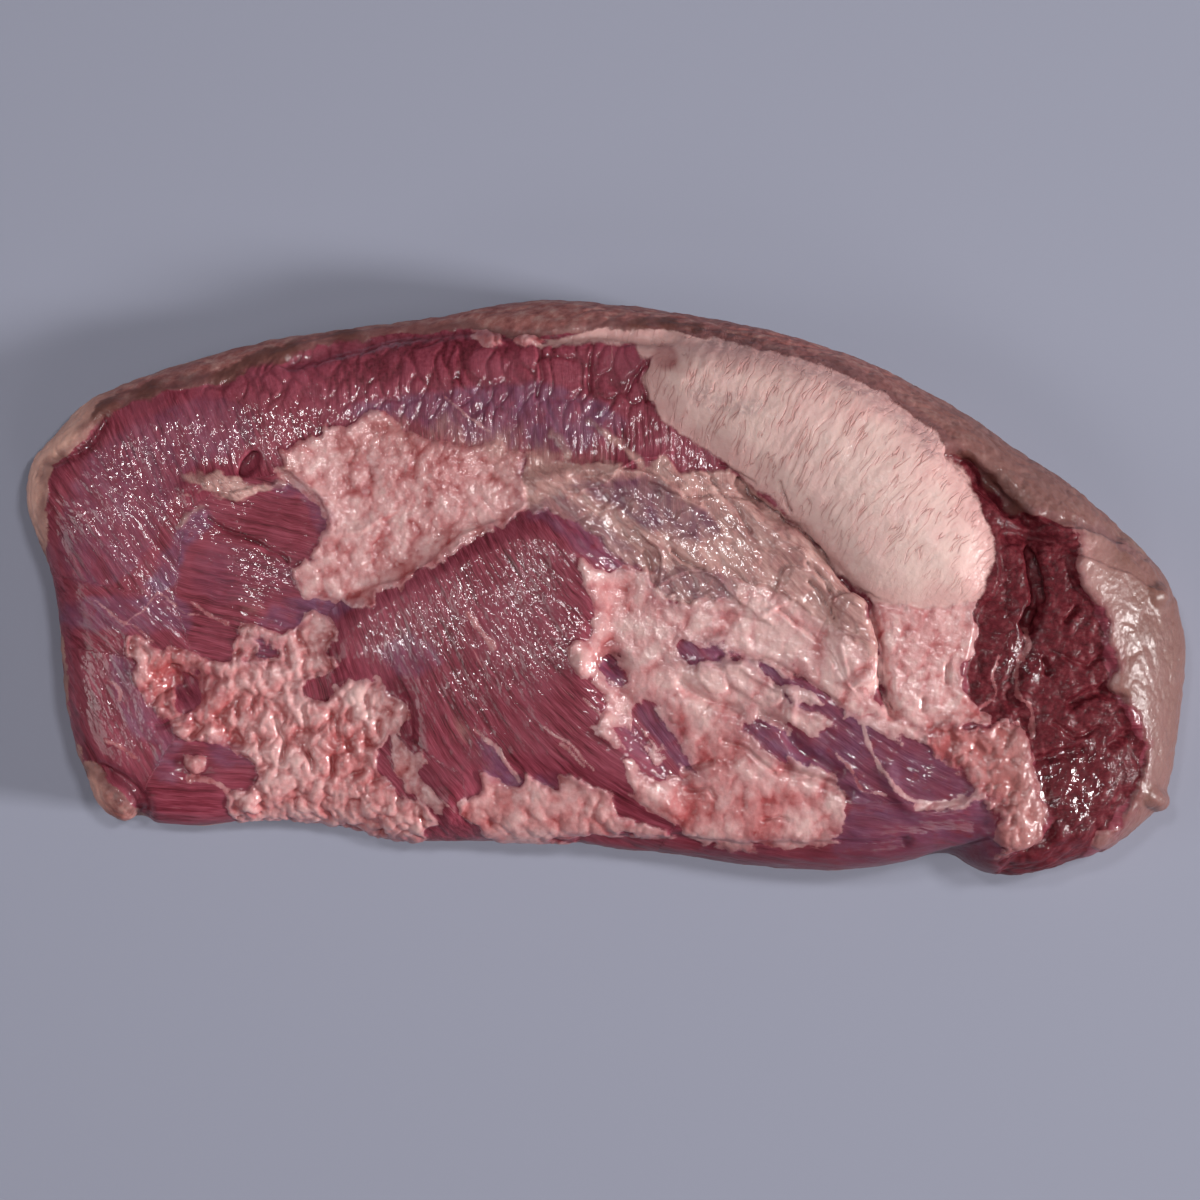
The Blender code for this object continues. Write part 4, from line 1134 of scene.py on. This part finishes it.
def fine_relief(points, field):
    """The relief finer than the solid's, along the normals, and the tone it gives."""
    places = field["places"]
    fat, hard, tan, cut = (within(field[name], 1.6) for name in ("fat", "hard", "tan", "cut"))
    tan = tan * (1.0 - hard)
    side = smooth(0.5 - field["top"] / 3.0)
    fat_only = fat * (1.0 - hard) * (1.0 - side)
    lean = (1.0 - fat) * (1.0 - hard) * (1.0 - tan) * (1.0 - cut) * (1.0 - side)

    lean_form, lean_tone = lean_relief(points, field)
    lumps = lumps_of(points, field)
    pad_form, pad_tone = pad_relief(places, field["grain"])
    cut_form, cut_tone = cut_relief(points, places)
    relief = lean * lean_form + fat_only * fat_relief(points, field, lumps)
    relief += tan * (1.0 - fat) * membrane_relief(points) + hard * pad_form + cut * cut_form
    tone = np.full(len(points), 0.5)
    bare_cut = cut * (1.0 - fat)
    for share, value in ((lean, lean_tone), (fat_only, lumps), (hard, pad_tone), (bare_cut, cut_tone)):
        tone = blended(tone, value, share)
    field["tone"] = tone

    for line, half_width, depth in CRACKS:
        relief += line_relief(places, line, half_width, -depth)
    for line, rise, run in FLAPS:
        relief += flap_relief(places, line, rise, run)
    cap = 0.6 * billows(points, (14.0, 9.0, 6.0), 87) + 0.3 * waves(points, 4.0, 88, 2)
    return (relief + side * cap) * field["upper"]


# The material

class Nodes:
    """Short calls for building a node tree."""

    def __init__(self, tree):
        self.tree = tree

    def add(self, kind, **settings):
        node = self.tree.nodes.new("ShaderNode" + kind)
        for name, value in settings.items():
            setattr(node, name, value)
        return node

    def plug(self, socket, value):
        """Links or sets a socket; a colour gets its alpha here."""
        if isinstance(value, bpy.types.NodeSocket):
            self.tree.links.new(value, socket)
        else:
            socket.default_value = (*value, 1.0) if socket.type == "RGBA" else value

    def fill(self, sockets, values):
        for socket, value in zip(sockets, values):
            self.plug(socket, value)

    def maths(self, operation, *values, clamp=False):
        node = self.add("Math", operation=operation, use_clamp=clamp)
        self.fill(node.inputs, values)
        return node.outputs[0]

    def times(self, first, second, clamp=False):
        return self.maths("MULTIPLY", first, second, clamp=clamp)

    def plus(self, first, second, clamp=False):
        return self.maths("ADD", first, second, clamp=clamp)

    def scaled(self, value, factor, added):
        return self.maths("MULTIPLY_ADD", value, factor, added)

    def rest(self, value):
        return self.maths("SUBTRACT", 1.0, value)

    def larger(self, first, second):
        return self.maths("MAXIMUM", first, second)

    def off_middle(self, value, middle=0.5):
        return self.maths("ABSOLUTE", self.maths("SUBTRACT", value, middle))

    def step(self, value, low, high):
        node = self.add("MapRange", interpolation_type="SMOOTHSTEP")
        self.fill(node.inputs, (value, low, high))
        return node.outputs["Result"]

    def attribute(self, name, output="Fac"):
        return self.add("Attribute", attribute_name=name).outputs[output]

    def stretch(self, vector, scale):
        node = self.add("VectorMath", operation="MULTIPLY")
        self.fill(node.inputs, (vector, scale))
        return node.outputs[0]

    def spin(self, vector, degrees):
        node = self.add("VectorRotate", rotation_type="Z_AXIS")
        self.plug(node.inputs["Vector"], vector)
        node.inputs["Angle"].default_value = math.radians(degrees)
        return node.outputs["Vector"]

    def noise(self, vector, scale, detail=2.0, rough=0.5, warp=0.0):
        node = self.add("TexNoise")
        settings = {
            "Vector": vector, "Scale": scale, "Detail": detail, "Roughness": rough, "Distortion": warp,
        }
        self.fill([node.inputs[name] for name in settings], settings.values())
        return node.outputs["Fac"]

    def ramp(self, value, stops):
        node = self.add("ValToRGB")
        self.plug(node.inputs["Fac"], value)
        for _ in stops[2:]:
            node.color_ramp.elements.new(0.5)
        for element, (position, colour) in zip(node.color_ramp.elements, stops):
            element.position = position
            element.color = (*colour, 1.0)
        return node.outputs["Color"]

    def mix(self, share, first, second):
        node = self.add("Mix", data_type="RGBA")
        self.fill((node.inputs[0], node.inputs[6], node.inputs[7]), (share, first, second))
        return node.outputs[2]

    def tint(self, colour, share, strength, other):
        """The colour turned towards another by a share and its strength."""
        return self.mix(self.times(share, strength), colour, other)

    def blend(self, share, first, second):
        node = self.add("Mix")
        self.fill((node.inputs[0], node.inputs[2], node.inputs[3]), (share, first, second))
        return node.outputs[0]

    def bump(self, height, strength, distance):
        node = self.add("Bump")
        node.inputs["Strength"].default_value = strength
        node.inputs["Distance"].default_value = distance
        self.plug(node.inputs["Height"], height)
        return node.outputs["Normal"]


class Meat(Nodes):
    """The node tree of the meat, with the values that several tissues read."""

    def __init__(self, tree):
        super().__init__(tree)
        self.spot = self.stretch(self.add("TexCoord").outputs["Object"], (1000.0, 1000.0, 1000.0))
        apart = self.add("SeparateXYZ")
        self.plug(apart.inputs[0], self.spot)
        self.east, self.north, self.high = apart.outputs
        self.grain = self.attribute("grain", "Vector")
        self.tone, self.wet, self.silver, self.cobble, self.film = (
            self.attribute(name) for name in ("tone", "wet", "silver", "cobble", "film"))
        self.grit = self.scaled(self.speckle(0.9, 3.0, 0.65), 1.6, -0.8)
        self.hard, self.tan, self.cut = (
            self.step(self.deep_in(name), -soft, soft)
            for name, soft in (("hard", 0.9), ("tan", 1.1), ("cut", 0.5)))
        self.fat_depth = self.deep_in("fat")
        self.fat = self.step(self.fat_depth, -0.4, 0.4)
        self.top = self.deep_in("top")
        self.cap = self.rest(self.step(self.top, -0.5, 0.5))
        self.covered = self.larger(self.fat, self.larger(self.hard, self.cap))
        self.mottle = self.speckle(0.16, 4.0, 0.6)
        self.sheet = self.grained((0.5, 0.2, 0.5), 0.35, 5.0, 0.65, 0.5)
        self.fibres = self.grained((1.0, 0.06, 0.3), 0.75, 4.0, 0.6)
        self.threads = self.grained((1.0, 0.05, 0.3), 2.2, 2.0)
        self.pointward = self.step(self.east, 40.0, 140.0)
        # Towards the point's end, where painted shade darkens the soft fat and the wet film changes
        self.ending = self.step(self.east, 120.0, 205.0)

    def deep_in(self, name):
        return self.plus(self.attribute(name), self.grit)

    def speckle(self, *look):
        return self.noise(self.spot, *look)

    def grained(self, scale, *look):
        """Noise drawn out along the grain."""
        return self.noise(self.stretch(self.grain, scale), *look)

    def mottled(self, dark, light):
        return self.mix(self.mottle, dark, light)


def lean_colour(m):
    fibrous = m.scaled(m.fibres, 0.55, m.scaled(m.tone, 0.15, m.times(m.threads, 0.3)))
    pebbled = m.scaled(m.speckle(0.7, 3.0), 0.3, m.scaled(m.tone, 0.14, 0.275))
    lean = m.ramp(m.blend(m.cobble, fibrous, pebbled), LEAN_TONES)
    lean = m.tint(lean, m.step(m.speckle(0.045, 3.0, 0.55), 0.4, 0.7), 0.5, PALE_LEAN)
    marbling = m.step(m.grained((1.0, 0.05, 0.3), 0.45, 5.0, 0.7), 0.655, 0.70)
    lean = m.tint(lean, marbling, 0.45, MARBLING)
    # Painted sheen: pale streaks along the grain where the lean is wet
    painted_sheen = m.times(m.step(m.grained((1.0, 0.09, 0.4), 0.95, 3.0, 0.6), 0.50, 0.64), m.wet)
    lean = m.tint(lean, painted_sheen, m.blend(m.cobble, 0.08, 0.04), PAINTED_SHEEN)
    return m.tint(lean, m.pointward, 0.5, POINT_LEAN)


def silver_colour(m):
    haze = m.ramp(m.grained((1.0, 0.25, 0.5), 0.3, 4.0, 0.6), SILVER_TONES)
    return m.tint(haze, m.pointward, 0.5, POINT_SILVER)


def membrane_colour(m):
    creases = m.stretch(m.spin(m.spot, 42.0), (0.13, 1.0, 0.5))
    creases = m.rest(m.step(m.off_middle(m.noise(creases, 0.17, 3.0, 0.55, 0.5)), 0.0, 0.04))
    creases = m.times(creases, m.step(m.speckle(0.10, 3.0), 0.42, 0.6))
    return m.tint(m.ramp(m.sheet, MEMBRANE_TONES), creases, 0.55, CREASE_BROWN)


def soft_fat_colour(m):
    """Paler on the lumps and redder between them, partly their own tone and partly painted shade; duller and
    waxy towards the point's end, and darker there as painted shade.
    """
    redness = m.plus(m.attribute("redness"), m.scaled(m.mottle, 1.1, -0.55))
    # Partly the fat's own redness and partly painted shade: redder between the lumps
    redness = m.plus(redness, m.scaled(m.tone, -0.75, 0.45), clamp=True)
    fat = m.ramp(redness, FAT_TONES)
    # Painted shade with the fat's own waxy tan: darker towards the point's end
    fat = m.tint(fat, m.ending, 0.85, m.mottled(*SHADED_END_FAT))
    fat = m.tint(fat, m.attribute("aged"), 0.9, m.ramp(m.speckle(0.22, 4.0, 0.6), WAXY_SHADED_TONES))
    return m.tint(fat, m.step(m.east, 196.0, 226.0), 0.7, SHADED_OUTER_FAT)


def cut_colour(m):
    raw = m.ramp(m.scaled(m.tone, 0.35, m.times(m.speckle(0.5, 5.0, 0.7), 0.75)), CUT_TONES)
    return m.tint(raw, m.wet, 0.2, WET_CUT)


def pad_cracks(m):
    """The fine cracks along the pad's wrinkles, and the flush beside them."""
    outward = m.step(m.scaled(m.east, 0.35, m.north), 28.0, 80.0)
    lines = m.off_middle(m.grained((1.0, 0.12, 0.3), 0.36, 2.0, 0.5, 0.3))
    broken = m.step(m.grained((1.0, 0.6, 1.0), 0.17, 2.0), 0.40, 0.58)
    broken = m.times(broken, m.scaled(outward, 0.9, 0.08))
    return [m.times(m.rest(m.step(lines, 0.0, width)), broken) for width in (0.028, 0.13)]


def pad_colour(m, crack, flush):
    cream = m.ramp(m.speckle(0.05, 4.0, 0.55), PAD_TONES)
    # Painted shade with the pad's own pinker tone, towards its far side and the point
    cream = m.tint(cream, m.step(m.scaled(m.east, 0.45, m.north), 30.0, 120.0), 0.2, SHADED_PAD_FAR)
    cream = m.tint(cream, flush, 0.42, PAD_FLUSH)
    cream = m.tint(cream, crack, 0.36, PAD_CRACK)
    # Painted shade with the pad's own pinker tone at its end, which the key lamp lights strongly
    cream = m.tint(cream, m.step(m.east, 144.0, 168.0), 0.5, SHADED_PAD_END)
    cream = m.tint(cream, m.step(m.attribute("redness"), 0.55, 0.95), 0.85, PAD_RED)
    cream = m.tint(cream, m.step(m.speckle(0.5, 3.0), 0.35, 0.55), m.silver, PAD_GREY)
    rim_depth = m.scaled(m.speckle(0.09, 4.0, 0.65), 22.0, m.attribute("hard"))
    return m.tint(cream, m.rest(m.step(rim_depth, 10.0, 26.0)), 0.8, m.mottled(*PAD_RIM))


def cap_colour(m):
    """The dried fat cap: brown behind the point, partly painted shade; pale at the flat's lip, partly
    painted light; and pale low on the sides.
    """
    dried = m.ramp(m.noise(m.stretch(m.spot, (1.0, 1.0, 2.0)), 0.16, 5.0, 0.65), CAP_TONES)
    # Painted shade with the cap's own dried brown, darker towards the point
    dried = m.tint(dried, m.step(m.east, 60.0, 180.0), 0.85, m.mottled(*SHADED_POINT_CAP))
    dried = m.tint(dried, m.step(m.east, 212.0, 240.0), 0.4, CAP_END)
    # Painted light with the lip's own pale fat, at the flat's end
    dried = m.tint(dried, m.rest(m.step(m.east, -232.0, -205.0)), 0.85, m.mottled(*LIT_FLAT_LIP))
    dried = m.tint(dried, m.step(m.scaled(m.speckle(0.06, 4.0), 16.0, m.top), 4.0, 8.0), 0.51, CAP_SCAB)
    height = m.scaled(m.speckle(0.04, 3.0), 26.0, m.high)
    creamy = m.ramp(m.speckle(0.10, 4.0, 0.6), LOW_CAP_TONES)
    dried = m.tint(dried, m.rest(m.step(height, 22.0, 42.0)), 0.8, creamy)
    border = m.rest(m.step(m.off_middle(m.top, -1.8), 0.5, 4.0))
    return m.tint(dried, border, 0.5, CAP_BORDER)


def meat_colour(m, crack, flush):
    """The tissues' colours laid over one another, with painted shade darkening the hollows of the relief."""
    silver, membrane = silver_colour(m), membrane_colour(m)
    veil = m.times(m.silver, m.step(m.speckle(0.22, 3.0), 0.15, 0.5), clamp=True)
    colour = m.mix(veil, lean_colour(m), silver)
    silvery = m.times(m.silver, 0.95, clamp=True)
    silvery = m.mix(silvery, membrane, m.mix(0.6, silver, DARK_SILVER))
    colour = m.tint(colour, m.tan, 0.94, silvery)
    covering = m.scaled(m.step(m.fat_depth, 0.0, 5.0), 0.48, 0.52)
    colour = m.tint(colour, m.fat, covering, soft_fat_colour(m))
    flakes = m.step(m.scaled(m.sheet, 1.6, m.plus(m.film, -0.8)), 0.1, 0.9)
    colour = m.tint(colour, flakes, m.film, m.mix(0.35, membrane, FILM_BROWN))
    colour = m.tint(colour, m.cut, m.rest(m.fat), cut_colour(m))
    # Painted shade: darker towards the near edge, where the side rolls under
    colour = m.tint(colour, m.rest(m.step(m.north, -116.0, -100.0)), 0.5, NEAR_EDGE_SHADE)
    colour = m.mix(m.hard, colour, pad_colour(m, crack, flush))
    colour = m.mix(m.cap, colour, cap_colour(m))
    crust = m.step(m.plus(m.speckle(0.14, 4.0, 0.6), m.attribute("scab")), 0.75, 1.25)
    colour = m.tint(colour, crust, 0.85, m.mottled(*CRUST))
    # Painted shade: the colour darkened in the relief's hollows, more on lean than on fat and pad
    shade = m.blend(m.larger(m.fat, m.hard), 0.75, 0.42)
    return m.tint(colour, m.attribute("crevice_shade"), shade, m.mix(m.fat, *CREVICE_SHADE))


def surface_relief(m, crack):
    """The finest relief: fibres in the lean, grains in the fat and cracks in the pad."""
    lean = m.plus(m.times(m.fibres, 0.5), m.times(m.threads, 0.3))
    fat = m.times(m.speckle(0.5, 3.0), 0.6)
    return m.blend(m.covered, lean, m.scaled(m.times(crack, m.hard), -0.7, fat))


def film_relief(m, relief):
    """The crinkles of the wet film on top, which break its gloss into glints."""
    crinkle = m.grained((1.0, 0.4, 0.5), 0.6, 2.0)
    crinkle = m.blend(m.larger(m.covered, m.cut), crinkle, m.speckle(0.5, 2.0, 0.5, 0.6))
    on_lean = m.blend(m.cut, m.scaled(m.wet, 0.7, 0.2), 0.55)
    depth = m.blend(m.covered, on_lean, m.scaled(m.ending, 0.4, 0.35))
    height = m.scaled(crinkle, depth, m.times(relief, m.blend(m.covered, 0.15, 0.35)))
    depth = m.blend(m.covered, m.blend(m.cut, 0.03, 0.10), m.scaled(m.wet, 0.10, 0.08))
    return m.scaled(m.speckle(1.3, 2.0), depth, height)


def film_weight(m):
    """How much wet film lies on each tissue."""
    on_lean = m.blend(m.tan, m.scaled(m.wet, 0.55, 0.12), 0.3)
    on_lean = m.blend(m.cut, on_lean, m.scaled(m.times(m.wet, m.wet), 0.34, 0.03))
    on_fat = m.scaled(m.ending, -0.22, m.scaled(m.wet, 0.18, 0.26))
    return m.blend(m.cap, m.blend(m.hard, m.blend(m.fat, on_lean, on_fat), 0.05), 0.10)


def roughness(m):
    rough = m.blend(m.hard, m.blend(m.cap, m.blend(m.fat, 0.48, 0.40), 0.6), 0.5)
    return m.plus(rough, m.scaled(m.speckle(0.12, 3.0), 0.2, -0.1))


def meat_material():
    material = bpy.data.materials.new("raw_brisket")
    material.use_nodes = True
    m = Meat(material.node_tree)
    crack, flush = pad_cracks(m)
    relief = surface_relief(m, crack)
    matt = m.blend(m.larger(m.fat, m.tan), m.blend(m.cut, 0.20, 0.08), 0.32)
    looks = {
        "Base Color": meat_colour(m, crack, flush),
        "Normal": m.bump(relief, 0.7, 0.0006),
        "Coat Normal": m.bump(film_relief(m, relief), 0.9, 0.0008),
        "Roughness": roughness(m),
        "Coat Weight": film_weight(m),
        "Specular IOR Level": m.blend(m.hard, matt, 0.15),
        "Coat Roughness": 0.09,
        "Coat IOR": 1.95,
        "Subsurface Weight": 0.12,
        "Subsurface Radius": (1.0, 0.35, 0.25),
        "Subsurface Scale": 0.002,
    }
    shader = material.node_tree.nodes["Principled BSDF"]
    for name, value in looks.items():
        m.plug(shader.inputs[name], value)
    return material


# The pieces of the skin

def region_of(points, field):
    """The piece of the skin that each vertex belongs to."""
    places = field["places"]
    side = field["upper"] < 0.5
    tests = {
        "far_side": side & (points[:, 1] > -10.0),
        "near_side": side,
        "pad": field["hard"] > 0.0,
        "point": places[:, 0] > 125.0,
        "flat": places[:, 0] < -100.0,
        "muscle": places[:, 0] < 8.0,
    }
    return np.select(list(tests.values()), [REGIONS.index(name) for name in tests], REGIONS.index("middle"))


def underside_cap(points, quads, flat):
    """Triangles that close the flat underside, from the edge of the faces left out."""
    kept, gone = (
        {tuple(sorted(side)) for side in quad_sides(rows).tolist()} for rows in (quads[~flat], quads[flat]))
    flat_mesh = bmesh.new()
    made = {}
    shared = gone & kept
    for side in shared:
        for corner in side:
            if corner not in made:
                made[corner] = flat_mesh.verts.new(points[corner])
    order = {vertex: corner for corner, vertex in made.items()}
    for first, second in shared:
        flat_mesh.edges.new((made[first], made[second]))
    bmesh.ops.triangle_fill(flat_mesh, edges=flat_mesh.edges[:], use_beauty=True, normal=(0, 0, -1))
    rows = []
    for face in flat_mesh.faces:
        corners = [order[vertex] for vertex in face.verts]
        if face.normal.z > 0.0:
            corners.reverse()
        rows.append([*corners, corners[-1]])
    flat_mesh.free()
    return np.array(rows, np.int64)


def build_skin():
    """The skin's points and quads, with all that its vertices carry."""
    starts, toward, reach, across, fan = rays_to_outline(curve_through(OUTLINE, 12, closed=True))
    rings = fit_to_node(carve(slab_rings(starts, toward, reach)))
    points, normals, quads = remeshed(sewn(rings, across, fan), SKIN_STEP)
    points = relaxed(points.astype(float), quads, 2)
    points[:, 2] = np.maximum(points[:, 2], 0.0)
    upper = facing_up(points, normals)
    seen = np.flatnonzero(upper > 0.0)
    detail = tissues(points[seen], upper[seen])
    detail["relief"] = fine_relief(points[seen], detail)
    field = {}
    for name, values in detail.items():
        field[name] = np.full((len(points), *values.shape[1:]), UNSEEN.get(name, 0.0))
        field[name][seen] = values
    relief = field["relief"] + (1.0 - upper) * 0.5 * waves(points, 10.0, 89, 2)
    relief += within(field["fat"], 2.0) * (relaxed(relief, quads, 1) - relief)
    relief *= smooth((points[:, 2] - 1.0) / 4.0)
    moved = points + relaxed(normals.astype(float), quads, 6) * relief[:, None]
    # Painted shade: how far each vertex lies below its smoothed neighbours, which darkens its colour
    field["crevice_shade"] = smooth((relaxed(relief, quads, 10) - relief - 0.1) / 0.9)
    return moved, quads, field


def bake_layout(name, points):
    """Each vertex's place on the piece's own map: from above for the top, rolled out for the sides."""
    flat = points[:, :2]
    if name.endswith("_side"):
        east, north = points[:, 0] / NODE_HIGH[0], points[:, 1] / NODE_HIGH[1]
        turn = np.arctan2(north, east) * (1.0 if name == "far_side" else -1.0)
        around = ((turn + 1.0) % (2.0 * np.pi)) * NODE_HIGH[0]
        flat = np.stack([around, points[:, 2] + 0.5 * NODE_HIGH[1] * np.hypot(north, east)], axis=1)
    low, high = flat.min(axis=0), flat.max(axis=0)
    return 0.01 + 0.98 * (flat - low) / (high - low)


def set_attribute(mesh, name, values):
    kind, slot = ("FLOAT", "value") if values.ndim == 1 else ("FLOAT_VECTOR", "vector")
    layer = mesh.attributes.new(name, kind, "POINT")
    layer.data.foreach_set(slot, values.astype(np.float32).ravel())


def piece_mesh(name, rows, points, normals, field):
    """One piece of the skin, with its values, its map and the whole skin's normals."""
    used, index = np.unique(rows, return_inverse=True)
    mesh = mesh_from_arrays(name, points[used], index.reshape(-1, 4))
    for carried in CARRIED:
        set_attribute(mesh, carried, field[carried][used])
    corners = read_out(mesh.loops, "vertex_index", 1, np.int32)
    unwrapped = bake_layout(name, points[used])[corners]
    mesh.uv_layers.new(name="OFBake").data.foreach_set("uv", unwrapped.astype(np.float32).ravel())
    mesh.shade_smooth()
    mesh.normals_split_custom_set_from_vertices(normals[used])
    return mesh


def make_pieces():
    points, quads, field = build_skin()
    material = meat_material()
    whole = mesh_from_arrays("whole", points, quads)
    normals = read_out(whole.vertices, "normal", 3)
    bpy.data.meshes.remove(whole)
    region = region_of(points, field)[quads[:, 0]]
    flat = (points[quads][:, :, 2] < REST_LEVEL).all(axis=1)
    rows = {name: quads[(region == number) & ~flat] for number, name in enumerate(REGIONS)}
    rows["underside"] = underside_cap(points, quads, flat)
    made = []
    for name, corners in rows.items():
        mesh = piece_mesh(name, corners, points, normals, field)
        mesh.materials.append(material)
        piece = bpy.data.objects.new("brisket_" + name, mesh)
        bpy.context.scene.collection.objects.link(piece)
        made.append(piece)
    return made


# Floor, lights and camera

def make_stage():
    mesh = bpy.data.meshes.new("floor")
    corners = [(x * FLOOR_REACH, y * FLOOR_REACH, 0.0) for x, y in ((-1, -1), (1, -1), (1, 1), (-1, 1))]
    mesh.from_pydata(corners, [], [(0, 1, 2, 3)])
    floor = bpy.data.objects.new("floor", mesh)
    floor.location.z = -0.0003
    bpy.context.scene.collection.objects.link(floor)
    material = bpy.data.materials.new("floor")
    material.use_nodes = True
    shader = material.node_tree.nodes["Principled BSDF"]
    shader.inputs["Base Color"].default_value = (*FLOOR_COLOUR, 1.0)
    shader.inputs["Roughness"].default_value = 0.75
    mesh.materials.append(material)


def make_lights():
    for name, place, target, size, power, colour in LAMPS:
        data = bpy.data.lights.new(name, "AREA")
        data.shape = "RECTANGLE"
        data.size, data.size_y = size
        data.energy = power
        data.color = colour
        lamp = bpy.data.objects.new(name, data)
        lamp.location = place
        lamp.rotation_euler = (Vector(target) - Vector(place)).to_track_quat("-Z", "Y").to_euler()
        bpy.context.scene.collection.objects.link(lamp)
    world = bpy.data.worlds.new("studio")
    world.use_nodes = True
    background = world.node_tree.nodes["Background"]
    background.inputs["Color"].default_value = (*STUDIO_COLOUR, 1.0)
    background.inputs["Strength"].default_value = STUDIO_STRENGTH
    bpy.context.scene.world = world


def make_camera():
    data = bpy.data.cameras.new("camera")
    data.sensor_width = SENSOR
    data.lens = SENSOR * (CAMERA_HEIGHT - SIGHT_LEVEL) / VIEW_WIDTH
    camera = bpy.data.objects.new("camera", data)
    camera.location = (SIGHT_CENTRE[0] / 1000.0, SIGHT_CENTRE[1] / 1000.0, CAMERA_HEIGHT / 1000.0)
    bpy.context.scene.collection.objects.link(camera)
    bpy.context.scene.camera = camera


bpy.context.scene.view_settings.view_transform = "Standard"
make_camera()
make_stage()
make_lights()
for piece in make_pieces():
    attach(piece, "root")
    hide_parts("brisket")
